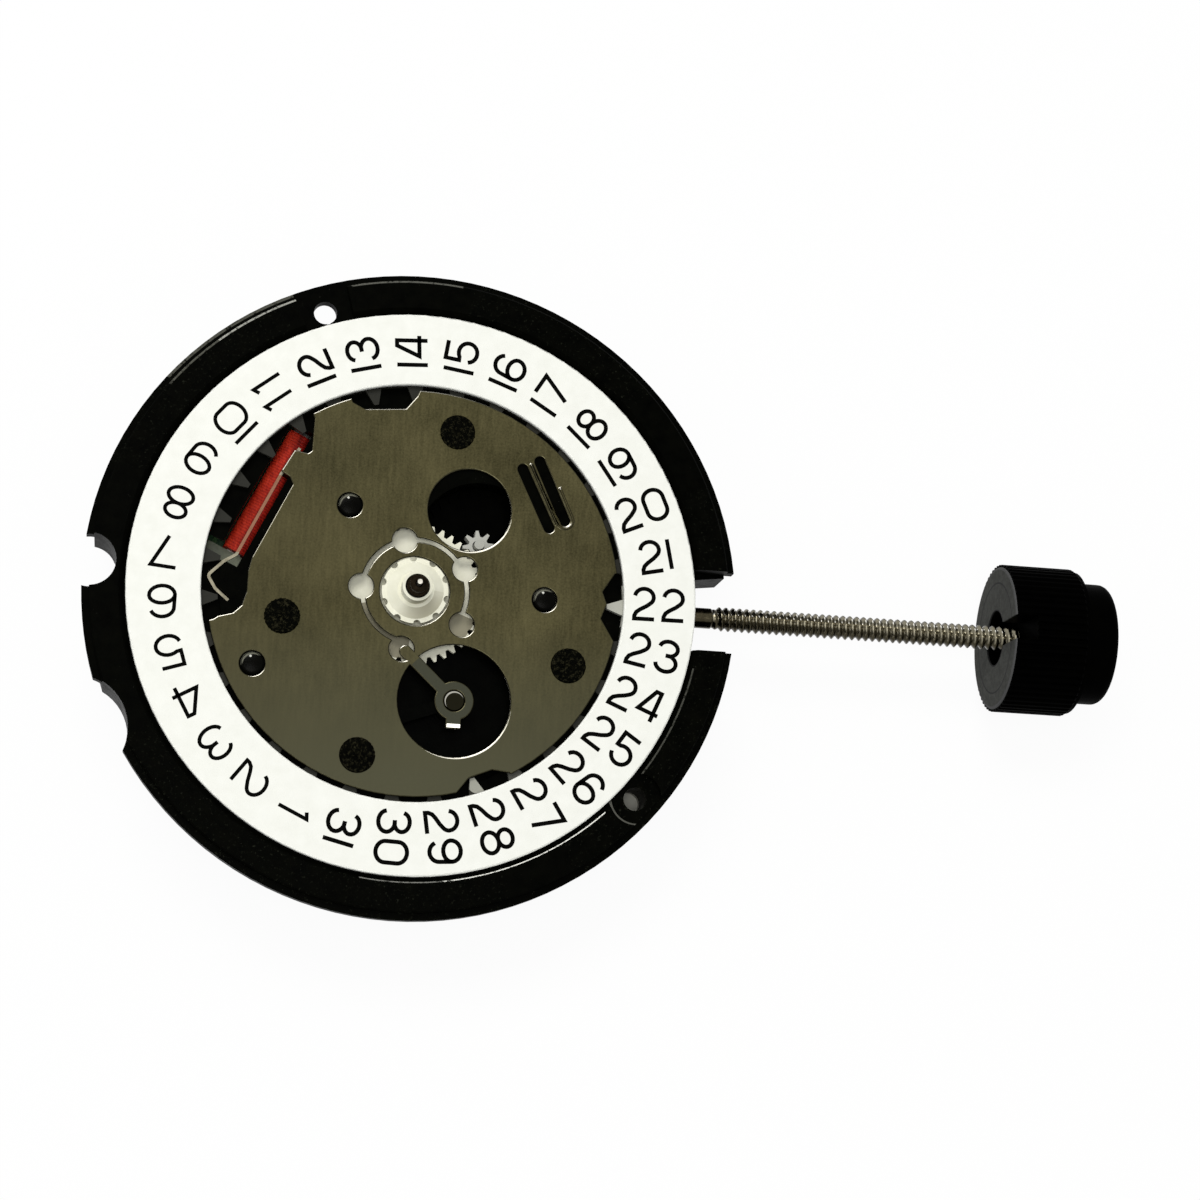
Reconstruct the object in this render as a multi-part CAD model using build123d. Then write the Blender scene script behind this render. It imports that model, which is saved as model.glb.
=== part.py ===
from build123d import *
import os
from math import acos, atan2, cos, degrees, hypot, radians, sin, sqrt

os.makedirs("parts", exist_ok=True)

# Frame: the origin is on the hand axis in the plane that the dial rests on.
# +Z points out of the dial side, +X along the setting stem to the crown.
# All lengths are in millimetres and all angles in degrees.

# Main plate. Plan sizes are given for a body radius of 12.8 and follow the body's radius.
body_radius = 12.8
plan_scale = body_radius / 12.8
flange_width = 0.3
flange_top = -0.35
flange_thickness = 0.55
rim_wall = 0.9 * plan_scale
rim_edge = 0.06
rim_bevel = 0.2

# Notches in the rim, each a share of the body's radius and a direction from the hand axis
notch_shares = ((1.0039, 178.3), (1.128, -154.2))
notch_radii = (1.05 * plan_scale, 2.1 * plan_scale)
stem_gap_width = 3.3 * plan_scale
stem_gap_depth = 1.65 * plan_scale
stem_gap_slant = 0.3
rim_recess_angle = 110.2
rim_recess_half_angle = 4.9
rim_recess_depth = 0.22
dial_foot_radius = 0.465
dial_foot_depth = 2.2
dial_foot_shares = ((0.932, 110.5), (0.9438, -40.3))
foot_web_bottom = -0.75
foot_recess_radius = 1.05
foot_recess_depth = 0.25

# Date disc
disc_outer_radius = 11.4 * plan_scale
disc_inner_radius = 8.46 * plan_scale
disc_skirt_radius = 9.0 * plan_scale
disc_drop = 0.05
disc_thickness = 0.2
disc_rounding = 0.07
disc_tooth_count = 31
disc_tooth_tip_radius = 7.8 * plan_scale
disc_tooth_angle = -0.4
disc_tooth_drop = 0.06
disc_tooth_thickness = 0.24
disc_side_gap = 0.07
disc_under_gap = 0.05

# Date plate, which holds the date disc down
date_plate_radius = 8.25 * plan_scale
date_plate_thickness = 0.15
hub_hole_radius = 1.4 * plan_scale
ring_slot_radius = 2.1 * plan_scale
ring_slot_width = 0.17
ring_slot_spans = ((178.3, 103.8), (103.8, 27.7), (27.7, -32.4), (-99.9, -181.7))
ring_hole_radius = 0.5 * plan_scale
ring_hole_shares = (
    (0.1641, 103.8), (0.1734, 27.7), (0.1797, -32.4), (0.1875, -99.9), (0.168, 178.3)
)
upper_hole_radius = 1.69 * plan_scale
upper_hole_share = (0.3141, 59.4)
date_hole_radius = 2.26 * plan_scale
arm_width = 0.5 * plan_scale
arm_turn = 25.0
arm_ring_radius = 0.79 * plan_scale
tail_width = 0.6 * plan_scale
tail_length = 1.12 * plan_scale
guide_slot_width = 0.42 * plan_scale
guide_slot_shares = (((0.5258, 52.1), (0.4742, 29.3)), ((0.5813, 49.7), (0.5297, 29.2)))
rib_width = 0.1
rib_height = 0.05
bead_gap = 0.1
stake_head_radius = 0.7 * plan_scale
stake_shank_radius = 0.42 * plan_scale
stake_head_height = 0.08
stake_head_rounding = 0.05
stake_shares = ((0.5297, 78.0), (0.4203, -165.3), (0.5461, -106.2), (0.5328, -22.6))
plate_pin_radius = 0.45 * plan_scale
plate_pin_gap = 0.05
pin_proud = 0.06
locating_pin_share = (0.5539, -152.0)

# Cut-outs of the date plate: corner points as shares of its radius
cut_out_rounding = 0.07 * plan_scale
coil_window_shares = (
    (-0.57, 0.92), (-0.53, 0.82), (-0.534, 0.657), (-0.552, 0.643), (-0.616, 0.655),
    (-0.676, 0.545), (-0.632, 0.519), (-0.616, 0.485), (-0.79, 0.112), (-0.805, 0.042),
    (-0.806, -0.06), (-0.825, -0.125), (-0.865, -0.165), (-0.935, -0.185), (-0.955, -0.2),
    (-1.05, -0.235), (-1.2, 0.35), (-0.85, 0.95),
)
top_notch_shares = (
    (-0.385, 1.02), (-0.348, 0.916), (-0.286, 0.886), (-0.088, 0.903), (-0.035, 0.972),
    (0.0, 1.06), (-0.37, 1.1),
)
right_notch_shares = (
    (1.05, 0.165), (0.978, 0.154), (0.92, 0.06), (0.943, 0.0), (0.916, -0.073),
    (0.985, -0.184), (1.05, -0.2),
)
lower_notch_shares = (
    (0.53, -0.9), (0.502, -0.856), (0.415, -0.847), (0.305, -0.892), (0.242, -0.977),
    (0.26, -1.06), (0.56, -1.0),
)

# Hands side of the centre
layer_gap = 0.05
hour_pipe_radius = 0.6
hour_pipe_bore = 0.49
hour_pipe_top = 0.95
hub_flange_radius = 1.33 * plan_scale
hub_flange_thickness = 0.22
hub_flange_rise = 0.09
hub_core_radius = 1.15 * plan_scale
hub_notch_radius = 0.15
hub_notch_count = 10
hub_notch_turn = 24.0
hub_cone_radius = 0.74 * plan_scale
hub_cone_height = 0.28
cannon_radius = 0.44
cannon_bore = 0.15
minute_seat_radius = 0.35
minute_seat_length = 0.42
cannon_shoulder_rise = 0.08
seconds_arbor_radius = 0.1
seconds_post_rise = 0.42

# Teeth: shares of the pitch at root and tip, and of the module outside the pitch circle
tooth_root_share = 0.34
tooth_tip_share = 0.11
tooth_rise_share = 0.85
disc_gap_root_share = 0.445
disc_gap_tip_share = 0.31
star_root_share = 0.3
star_tip_share = 0.08

# Motion work between the plate and the main plate's floor
hour_gear_drop = 0.48
hour_gear_thickness = 0.2
hour_teeth = 42
minute_pinion_teeth = 8
hour_module = 0.132 * plan_scale
cannon_teeth = 14
minute_teeth = 32
minute_wheel_angle = 40.1
motion_thickness = 0.2
date_gear_teeth = 40
hour_date_teeth = 20
date_wheel_distance = 4.67 * plan_scale
date_wheel_angle = -67.6
date_gear_thickness = 0.18
date_post_radius = 0.38 * plan_scale
date_hub_radius = 0.8 * plan_scale
finger_angle = 200.0
finger_reach = 3.2 * plan_scale
finger_width = 0.5
finger_thickness = 0.18
motion_post_radius = 0.2
post_gap = 0.04
recess_gap = 0.1
hour_recess_radius = 3.32 * plan_scale
web_thickness = 0.2

# Setting work
setting_teeth = 16
corrector_share = (0.5219, -15.2)
corrector_reach = 0.92 * plan_scale
corrector_teeth = 5
corrector_thickness = 0.2
pilot_radius = 0.22
pilot_start = 5.8 * plan_scale
square_start = 6.5 * plan_scale
square_side = 0.5
square_gap = 0.03
stem_neck_radius = 0.42
stem_bore_gap = 0.04
neck_start = 8.6 * plan_scale
thread_start = 12.0 * plan_scale
thread_radius = 0.5
groove_middle = 9.55 * plan_scale
groove_width = 0.6 * plan_scale
groove_radius = 0.28
pull_travel = 1.2 * plan_scale
pinion_start = 6.55 * plan_scale
pinion_length = 1.9 * plan_scale
pinion_radius = 0.85
pinion_root_radius = 0.66
pinion_teeth = 12
pinion_groove_start = 0.8 * plan_scale
pinion_groove_width = 0.5 * plan_scale
pinion_groove_radius = 0.55
lever_thickness = 0.22
lever_arm = 2.7 * plan_scale
lever_width = 0.8
lever_pin_radius = 0.2
lever_post_radius = 0.28
lever_tail_length = 1.5 * plan_scale
lever_room = 0.07
yoke_length = 2.9 * plan_scale
yoke_width = 0.3
yoke_reach = 0.55
yoke_boss_radius = 0.6
cover_eye_radius = 1.0 * plan_scale
cover_screw_shares = ((0.603, -36.6), (0.8316, 25.6))
cover_screw_depth = 0.9
cover_margin = 1.35 * plan_scale
cover_window_width = 1.1
release_hole_radius = 0.45
ejector_mark_radius = 0.9 * plan_scale
ejector_mark_depth = 0.06
ejector_mark_shares = ((0.74, 86.0), (0.72, 44.0), (0.7, -62.0))

# Crown
crown_face = 24.5 * plan_scale
crown_radius = 3.08
crown_length = 3.2
crown_boss_radius = 2.52
crown_boss_length = 1.4
crown_recess_radius = 1.15
crown_recess_depth = 0.9
crown_rounding = 0.35
crown_bevel = 0.24
crown_rib_count = 60
crown_rib_height = 0.11
crown_rib_root_share = 0.42
crown_rib_tip_share = 0.16
crown_lip = 0.06
stem_in_crown = 2.7

# Going train on the back
train_gap = 0.1
train_wheel_thickness = 0.12
train_distance = 2.6 * plan_scale
seconds_pinion_teeth = 8
third_teeth = 60
third_pinion_teeth = 8
centre_teeth = 64
third_angle = -100.0
fifth_distance = 2.64 * plan_scale
fifth_pinion_teeth = 8
seconds_teeth = 40
rotor_distance = 2.1 * plan_scale
fifth_teeth = 36
rotor_pinion_teeth = 6
rotor_place_distance = 4.32 * plan_scale
rotor_angle = 129.8
arbor_radius = 0.12
pivot_radius = 0.08
pivot_gap = 0.02
pivot_length = 0.14
shoulder_gap = 0.03
train_side_gap = 0.15
bridge_thickness = 0.16
bridge_eye_radius = 0.85 * plan_scale
bridge_screw_shares = ((0.3477, 180.0), (0.4375, -70.0), (0.4844, 62.0))
jewel_radius = 0.38

# Motor
magnet_radius = 0.85 * plan_scale
magnet_height = 0.32
stator_hole_gap = 0.15
stator_thickness = 0.35
stator_width = 2.6 * plan_scale
core_thickness = 0.4
core_width = 0.6
coil_angle = 64.5
coil_offset = 7.1 * plan_scale
coil_start = -1.85 * plan_scale
coil_length = 5.5 * plan_scale
coil_width = 1.0
coil_rounding = 0.3
coil_gap = 0.05
core_end = 0.75 * plan_scale
terminal_inner = 0.4 * plan_scale
terminal_outer = 1.1 * plan_scale
coil_pocket_inner = 5.7 * plan_scale
coil_pocket_room = 0.1
coil_pocket_roof = 0.25

# Circuit
board_thickness = 0.1
can_radius = 0.72
chip_room = 1.3 * plan_scale
can_offset = 9.9 * plan_scale
chip_radius = 0.62
chip_height = 0.45

# Battery
battery_distance = 8.25 * plan_scale
battery_angle = -145.0
battery_radius = 3.95 * plan_scale
battery_step = 0.35
battery_rounding = 0.2
battery_well_gap = 0.3
battery_well_roof = 0.14
insulator_wall = 0.2
contact_thickness = 0.06
contact_width = 1.2
clamp_thickness = 0.12
clamp_width = 1.8
clamp_screw_distance = 8.2 * plan_scale
clamp_screw_angle = -103.0

# Date jumper: the line of its wire as shares of the date plate's radius
jumper_wire = 0.12
jumper_side_gap = 0.04
jumper_drop = 0.04
jumper_rounding = 0.16
jumper_shares = (
    (-0.59, 0.675), (-0.674, 0.539), (-0.864, 0.128), (-0.923, 0.09), (-0.994, 0.018),
    (-0.955, -0.045), (-0.888, -0.1),
)

# Screws
screw_head_radius = 0.62
screw_head_height = 0.16
screw_shank_radius = 0.32
screw_slot_width = 0.16
bridge_screw_depth = 1.3
clamp_screw_depth = 0.8
screw_gap = 0.03

cut_over = 0.5


def polar(radius, angle):
    """Point at a distance and a direction from the hand axis."""
    return (radius * cos(radians(angle)), radius * sin(radians(angle)))


def placed(share):
    """Point given as a share of the body's radius and a direction from the hand axis."""
    return polar(share[0] * body_radius, share[1])


def disc(radius, low, high, at=(0, 0)):
    """Upright cylinder between two heights."""
    return Pos(at[0], at[1], (low + high) / 2) * Cylinder(radius, high - low)


def ring(outer, inner, low, high, at=(0, 0)):
    """Upright tube between two heights."""
    return disc(outer, low, high, at) - disc(inner, low - cut_over, high + cut_over, at)


def slab(outline, low, high):
    """Upright prism of a flat outline between two heights."""
    return Pos(0, 0, low) * extrude(outline, high - low, dir=(0, 0, 1))


def polygon(points):
    """Flat outline through the given corner points."""
    return make_face(Polyline(*points, close=True))


def bar(start, end, width):
    """Flat outline of a straight bar with round ends, from point to point."""
    length = hypot(end[0] - start[0], end[1] - start[1])
    turn = degrees(atan2(end[1] - start[1], end[0] - start[0]))
    middle = ((start[0] + end[0]) / 2, (start[1] + end[1]) / 2)
    return Pos(*middle) * Rot(0, 0, turn) * SlotCenterToCenter(length, width)


def toothed(teeth, root, tip, turn, root_share=tooth_root_share, tip_share=tooth_tip_share):
    """Flat outline of a toothed wheel, with one tooth pointing in the direction of turn."""
    pitch = 360 / teeth
    corners = ((-root_share, root), (-tip_share, tip), (tip_share, tip), (root_share, root))
    points = []
    for tooth in range(teeth):
        for share, radius in corners:
            points.append(polar(radius, turn + (tooth + share) * pitch))
    return polygon(points)


def gear(teeth, module, turn, low, high, at=(0, 0)):
    """Toothed wheel whose pitch radius is half of teeth times module."""
    pitch_radius = teeth * module / 2
    outline = toothed(teeth, pitch_radius - module, tip_radius(teeth, module), turn)
    return Pos(at[0], at[1], 0) * slab(outline, low, high)


def tip_radius(teeth, module):
    """Radius over the tooth tips of a gear."""
    return (teeth / 2 + tooth_rise_share) * module


def meshing_turn(turn, teeth, direction, other_teeth):
    """Turn of the wheel that lies in a direction, so that its gap meets the first one's tooth."""
    phase = (direction - turn) * teeth / 360
    other_phase = 0.5 - phase
    return direction + 180 - other_phase * 360 / other_teeth


# Heights that follow from the sizes above
disc_top = -disc_drop
disc_bottom = disc_top - disc_thickness
date_plate_seat = disc_bottom - disc_under_gap
tooth_top = date_plate_seat - disc_tooth_drop
tooth_bottom = tooth_top - disc_tooth_thickness
groove_floor = tooth_bottom - disc_under_gap
plate_top = date_plate_seat + date_plate_thickness
hub_flange_top = plate_top + hub_flange_rise
hub_cone_top = hub_flange_top + hub_cone_height
hour_gear_top = date_plate_seat - hour_gear_drop
hour_gear_bottom = hour_gear_top - hour_gear_thickness
date_gear_top = hour_gear_bottom - layer_gap
date_gear_bottom = date_gear_top - date_gear_thickness
motion_top = date_gear_bottom - layer_gap
motion_bottom = motion_top - motion_thickness
date_floor = date_gear_bottom - layer_gap
motion_floor = motion_bottom - layer_gap
web_bottom = motion_floor - web_thickness
centre_wheel_top = web_bottom - train_gap
centre_wheel_bottom = centre_wheel_top - train_wheel_thickness
fifth_wheel_top = centre_wheel_bottom - train_gap
fifth_wheel_bottom = fifth_wheel_top - train_wheel_thickness
third_wheel_top = fifth_wheel_bottom - train_gap
third_wheel_bottom = third_wheel_top - train_wheel_thickness
seconds_wheel_top = third_wheel_bottom - train_gap
seconds_wheel_bottom = seconds_wheel_top - train_wheel_thickness
back_seat = seconds_wheel_bottom - train_gap
bridge_back = back_seat - bridge_thickness
rim_back = bridge_back
stem_height = (groove_floor + rim_back) / 2
magnet_top = fifth_wheel_bottom - train_gap
magnet_bottom = magnet_top - magnet_height
stator_bottom = magnet_top - stator_thickness
core_bottom = magnet_top
core_top = core_bottom + core_thickness
board_bottom = rim_back
board_top = board_bottom + board_thickness
coil_middle = (core_bottom + core_top) / 2
coil_height = 2 * (coil_middle - board_top - coil_gap)
coil_pocket_top = groove_floor - coil_pocket_roof
battery_top = groove_floor - battery_well_roof - contact_thickness
jumper_low = tooth_bottom - jumper_drop
minute_seat_top = hour_pipe_top + cannon_shoulder_rise + minute_seat_length
seconds_post_top = minute_seat_top + seconds_post_rise

# Places of the wheels
flange_radius = body_radius + flange_width
stem_gap_start = body_radius - stem_gap_depth
stem_end = crown_face + stem_in_crown
can_length = coil_length - chip_room
motion_distance = (hour_teeth + minute_pinion_teeth) * hour_module / 2
motion_module = 2 * motion_distance / (cannon_teeth + minute_teeth)
minute_wheel_at = polar(motion_distance, minute_wheel_angle)
date_wheel_at = polar(date_wheel_distance, date_wheel_angle)
date_module = 2 * date_wheel_distance / (hour_date_teeth + date_gear_teeth)
setting_distance = (minute_teeth + setting_teeth) * motion_module / 2
setting_wheel_at = (minute_wheel_at[0] + sqrt(setting_distance**2 - minute_wheel_at[1]**2), 0)
setting_direction = degrees(atan2(-minute_wheel_at[1], setting_wheel_at[0] - minute_wheel_at[0]))
corrector_at = placed(corrector_share)
locating_pin_at = placed(locating_pin_share)
third_at = polar(train_distance, third_angle)
third_module = 2 * train_distance / (seconds_pinion_teeth + third_teeth)
centre_module = 2 * train_distance / (third_pinion_teeth + centre_teeth)
fifth_module = 2 * fifth_distance / (fifth_pinion_teeth + seconds_teeth)
rotor_module = 2 * rotor_distance / (fifth_teeth + rotor_pinion_teeth)
rotor_at = polar(rotor_place_distance, rotor_angle)
fifth_swing = degrees(acos(
    (rotor_place_distance**2 + fifth_distance**2 - rotor_distance**2)
    / (2 * rotor_place_distance * fifth_distance)
))
fifth_angle = rotor_angle - fifth_swing
fifth_at = polar(fifth_distance, fifth_angle)
rotor_direction = degrees(atan2(rotor_at[1] - fifth_at[1], rotor_at[0] - fifth_at[0]))
battery_at = polar(battery_distance, battery_angle)
clamp_screw_at = polar(clamp_screw_distance, clamp_screw_angle)
lever_pivot_at = (groove_middle + pull_travel / 2, -lever_arm)
yoke_line = pinion_start + pinion_groove_start + pinion_groove_width / 2
yoke_pivot_at = (yoke_line, yoke_length)
lever_floor = back_seat + lever_thickness + 2 * lever_room
lever_half_swing = degrees(atan2(pull_travel / 2, sqrt(lever_arm**2 - (pull_travel / 2)**2)))

# Turns that put every pair of wheels in mesh at rest
cannon_turn = 0
minute_turn = meshing_turn(cannon_turn, cannon_teeth, minute_wheel_angle, minute_teeth)
minute_pinion_turn = minute_turn
hour_turn = meshing_turn(
    minute_pinion_turn, minute_pinion_teeth, minute_wheel_angle + 180, hour_teeth
)
date_turn = meshing_turn(hour_turn, hour_date_teeth, date_wheel_angle, date_gear_teeth)
setting_turn = meshing_turn(minute_turn, minute_teeth, setting_direction, setting_teeth)
third_turn = meshing_turn(0, seconds_pinion_teeth, third_angle, third_teeth)
centre_turn = meshing_turn(third_turn, third_pinion_teeth, third_angle + 180, centre_teeth)
fifth_turn = meshing_turn(0, seconds_teeth, fifth_angle, fifth_pinion_teeth)
rotor_turn = meshing_turn(fifth_turn, fifth_teeth, rotor_direction, rotor_pinion_teeth)


def coil_point(along, offset):
    """Point by its place along the coil and its distance from the hand axis."""
    normal_angle = coil_angle + 90
    return (
        along * cos(radians(coil_angle)) + offset * cos(radians(normal_angle)),
        along * sin(radians(coil_angle)) + offset * sin(radians(normal_angle)),
    )


def coil_box(along_low, along_high, offset_low, offset_high):
    """Flat rectangle square to the coil."""
    return polygon([
        coil_point(along_low, offset_low),
        coil_point(along_high, offset_low),
        coil_point(along_high, offset_high),
        coil_point(along_low, offset_high),
    ])


def window(shares, low, high):
    """Prism over a cut-out with rounded corners, given in shares of the date plate's radius."""
    outline = polygon([(x * date_plate_radius, y * date_plate_radius) for x, y in shares])
    return slab(fillet(outline.vertices(), cut_out_rounding), low, high)


def main_plate():
    """Moulded plate: rim and flange, disc recess, wheel recesses, posts and the back's pockets."""
    body = disc(body_radius, back_seat, 0)
    body = chamfer(body.edges().group_by(Axis.Z)[-1], rim_edge)
    body += ring(body_radius, body_radius - rim_wall, rim_back, back_seat)
    body += ring(flange_radius, body_radius - rim_wall, flange_top - flange_thickness, flange_top)

    # dial side: date disc recess, groove for its teeth, land under the date plate
    recess_radius = disc_outer_radius + disc_side_gap
    body -= disc(recess_radius, date_plate_seat, cut_over)
    body -= Pos(0, 0, -rim_bevel / 2) * Cone(recess_radius, recess_radius + rim_bevel, rim_bevel)
    groove_outer = disc_skirt_radius + disc_side_gap
    groove_inner = disc_tooth_tip_radius - disc_side_gap
    body -= ring(groove_outer, groove_inner, groove_floor, 0)

    # recesses of the motion work
    body -= disc(hour_recess_radius, hour_gear_bottom - layer_gap, 0)
    low_radius = tip_radius(hour_date_teeth, date_module) + recess_gap
    body -= disc(low_radius, motion_floor, 0)
    minute_radius = tip_radius(minute_teeth, motion_module) + recess_gap
    body -= disc(minute_radius, motion_floor, 0, minute_wheel_at)
    date_radius = max(tip_radius(date_gear_teeth, date_module), finger_reach) + recess_gap
    body -= disc(date_radius, date_floor, 0, date_wheel_at)
    setting_radius = tip_radius(setting_teeth, motion_module) + recess_gap
    body -= disc(setting_radius, motion_floor, 0, setting_wheel_at)
    body -= disc(corrector_reach + recess_gap, groove_floor, 0, corrector_at)

    body -= slab(jumper_outline(jumper_wire + 2 * jumper_side_gap), jumper_low, 0)

    # posts that carry the wheels of the dial side
    body += disc(motion_post_radius, motion_floor, date_plate_seat - layer_gap, minute_wheel_at)
    body += disc(date_post_radius, date_floor, plate_top, date_wheel_at)
    body += domed_pin(motion_floor, setting_wheel_at)
    body += disc(motion_post_radius, groove_floor, date_plate_seat - layer_gap, corrector_at)
    body -= disc(cannon_radius + post_gap, web_bottom - cut_over, motion_floor + cut_over)

    # heat-formed stakes that hold the date plate, and the domed pins that stand in its holes
    for share in stake_shares:
        at = placed(share)
        body += disc(stake_shank_radius, date_plate_seat - layer_gap, plate_top, at)
        head = disc(stake_head_radius, plate_top, plate_top + stake_head_height, at)
        body += fillet(head.edges().group_by(Axis.Z)[-1], stake_head_rounding)
    body += domed_pin(date_plate_seat - layer_gap, rotor_at)
    body += domed_pin(date_plate_seat - layer_gap, locating_pin_at)

    # back: train, motor, coil and battery pockets
    centre_room = tip_radius(centre_teeth, centre_module) + train_side_gap
    third_room = tip_radius(third_teeth, third_module) + train_side_gap
    fifth_room = tip_radius(fifth_teeth, rotor_module) + train_side_gap
    seconds_room = tip_radius(seconds_teeth, fifth_module) + train_side_gap
    low = rim_back - cut_over
    body -= disc(max(centre_room, seconds_room), low, web_bottom)
    body -= disc(third_room, low, web_bottom, third_at)
    body -= disc(fifth_room, low, web_bottom, fifth_at)
    body -= disc(magnet_radius + stator_hole_gap, low, web_bottom, rotor_at)
    body -= slab(stator_outline(coil_pocket_room), low, core_top + coil_pocket_room)
    body -= slab(coil_pocket_outline(), low, coil_pocket_top)
    body -= disc(battery_radius + battery_well_gap, low, battery_top + contact_thickness, battery_at)
    over_coil = slab(coil_opening_outline() & Circle(groove_outer), coil_pocket_top - cut_over, 0)
    body -= over_coil & window(coil_window_shares, coil_pocket_top - cut_over, 0)

    # setting work
    stem_bore = stem_neck_radius + stem_bore_gap
    body -= along_stem(stem_bore, pinion_start + pinion_length, flange_radius + cut_over)
    body -= along_stem(pilot_radius + stem_bore_gap, pilot_start - layer_gap, pinion_start)
    body -= pinion_room()
    body -= lever_room_below(low)
    body += disc(lever_post_radius, back_seat, lever_floor, lever_pivot_at)
    body += disc(lever_post_radius, back_seat, lever_floor, yoke_pivot_at)
    for share in ejector_mark_shares:
        body -= disc(ejector_mark_radius, low, back_seat + ejector_mark_depth, placed(share))

    # pivots of the train in the web
    for at in (third_at, fifth_at, rotor_at):
        body -= disc(pivot_radius + pivot_gap, web_bottom, web_bottom + pivot_length, at)

    # cuts in the rim
    body -= slab(stem_gap_outline(0), flange_top - flange_thickness, cut_over)
    body -= slab(stem_gap_outline(stem_gap_slant), low, flange_top - flange_thickness)
    for radius, share in zip(notch_radii, notch_shares):
        body -= disc(radius, low, cut_over, placed(share))
    body -= slab(rim_sector(), -rim_recess_depth, cut_over)
    body -= slab(rim_sector(), low, foot_web_bottom)
    for share in dial_foot_shares:
        body -= disc(dial_foot_radius, -dial_foot_depth, cut_over, placed(share))
    body -= disc(foot_recess_radius, -foot_recess_depth, cut_over, placed(dial_foot_shares[1]))

    # screw holes
    hole = screw_shank_radius + screw_gap
    for share in bridge_screw_shares:
        at = placed(share)
        body -= disc(hole, back_seat - cut_over, bridge_back + bridge_screw_depth + layer_gap, at)
    for share in cover_screw_shares:
        at = placed(share)
        body -= disc(hole, back_seat - cut_over, bridge_back + cover_screw_depth + layer_gap, at)
    clamp_screw_top = back_seat - clamp_thickness + clamp_screw_depth + layer_gap
    body -= disc(hole, rim_back - cut_over, clamp_screw_top, clamp_screw_at)
    return body


def domed_pin(low, at):
    """Round pin that stands a little proud of the date plate, with a rounded top."""
    pin = disc(plate_pin_radius, low, plate_top + pin_proud, at)
    return fillet(pin.edges().group_by(Axis.Z)[-1], pin_proud)


def along_stem(radius, start, end):
    """Cylinder on the stem's axis between two distances from the hand axis."""
    return Pos((start + end) / 2, 0, stem_height) * Rot(0, 90, 0) * Cylinder(radius, end - start)


def rim_sector():
    """Flat sector across the rim at the upper dial foot."""
    first = rim_recess_angle - rim_recess_half_angle
    last = rim_recess_angle + rim_recess_half_angle
    far = flange_radius + cut_over
    near = disc_outer_radius
    return polygon([polar(near, first), polar(far, first), polar(far, last), polar(near, last)])


def stem_gap_outline(slant):
    """Flat outline of the gap in the rim round the stem, narrowed inwards on one side."""
    far = flange_radius + cut_over
    half = stem_gap_width / 2
    return polygon([
        (stem_gap_start, -half), (far, -half), (far, half), (stem_gap_start, half - slant)
    ])


def pinion_room():
    """Pocket round the sliding pinion, open to the back."""
    start = pinion_start - layer_gap
    end = pinion_start + pinion_length + layer_gap
    width = 2 * (pinion_radius + recess_gap)
    top = stem_height + pinion_radius + recess_gap
    bottom = rim_back - cut_over
    return Pos((start + end) / 2, 0, (top + bottom) / 2) * Box(end - start, width, top - bottom)


def lever_room_below(low):
    """Pocket of the setting lever and the yoke, open to the back."""
    lever_side = lever_width / 2 + lever_room * 2
    pin_side = lever_pin_radius + lever_room
    pocket = disc(lever_arm + lever_side, low, lever_floor, lever_pivot_at)
    pocket = pocket & disc(body_radius - rim_wall, low, lever_floor)
    slot = Pos(lever_pivot_at[0], 0, (low + stem_height) / 2) * Box(
        pull_travel + 2 * pin_side, 2 * (pin_side + groove_radius), stem_height - low
    )
    yoke_outline = bar(
        yoke_pivot_at, (yoke_line, -yoke_reach), 2 * (yoke_boss_radius + lever_room)
    )
    return pocket + slot + slab(yoke_outline, low, lever_floor)


def date_plate():
    """Steel plate over the motion work, with its cut-outs, holes, arm and slots."""
    low = date_plate_seat
    high = plate_top
    plate = disc(date_plate_radius, low, high)
    for shares in (coil_window_shares, top_notch_shares, right_notch_shares, lower_notch_shares):
        plate -= window(shares, low - cut_over, high + cut_over)
    plate -= disc(hub_hole_radius, low - cut_over, high + cut_over)
    for share in ring_hole_shares:
        plate -= disc(ring_hole_radius, low - cut_over, high + cut_over, placed(share))
    for first, last in ring_slot_spans:
        plate -= ring_slot(first, last, low - cut_over, high + cut_over)
    plate -= disc(upper_hole_radius, low - cut_over, high + cut_over, placed(upper_hole_share))
    plate -= disc(date_hole_radius, low - cut_over, high + cut_over, date_wheel_at)
    plate += date_arm(low, high)
    slots = [[placed(share) for share in ends] for ends in guide_slot_shares]
    for ends in slots:
        plate -= slab(bar(*ends, guide_slot_width), low - cut_over, high + cut_over)
    rib_ends = [((a[0] + b[0]) / 2, (a[1] + b[1]) / 2) for a, b in zip(*slots)]
    plate += slab(bar(*rib_ends, rib_width), high, high + rib_height)
    plate += slab(slot_bead(slots[1]), high, high + rib_height)
    for share in stake_shares:
        plate -= disc(stake_shank_radius, low - cut_over, high + cut_over, placed(share))
    for at in (rotor_at, setting_wheel_at, locating_pin_at):
        radius = plate_pin_radius + plate_pin_gap
        plate -= disc(radius, low - cut_over, high + cut_over, at)
    return plate


def slot_bead(ends):
    """Flat outline of the raised bead round the outer side and the lower end of a slot."""
    inner = guide_slot_width + 2 * bead_gap
    bead = bar(*ends, inner + rib_width) - bar(*ends, inner)
    along = degrees(atan2(ends[1][1] - ends[0][1], ends[1][0] - ends[0][0]))
    reach = hypot(ends[1][0] - ends[0][0], ends[1][1] - ends[0][1])
    upper = Pos(*ends[0]) * Rot(0, 0, along) * Rectangle(reach, 2 * inner)
    return bead - upper


def ring_slot(first, last, low, high):
    """Arc-shaped slot between two of the holes round the hub."""
    middle = (first + last) / 2
    centre_line = ThreePointArc(
        polar(ring_slot_radius, first), polar(ring_slot_radius, middle), polar(ring_slot_radius, last)
    )
    return slab(trace(centre_line, ring_slot_width), low, high)


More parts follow.
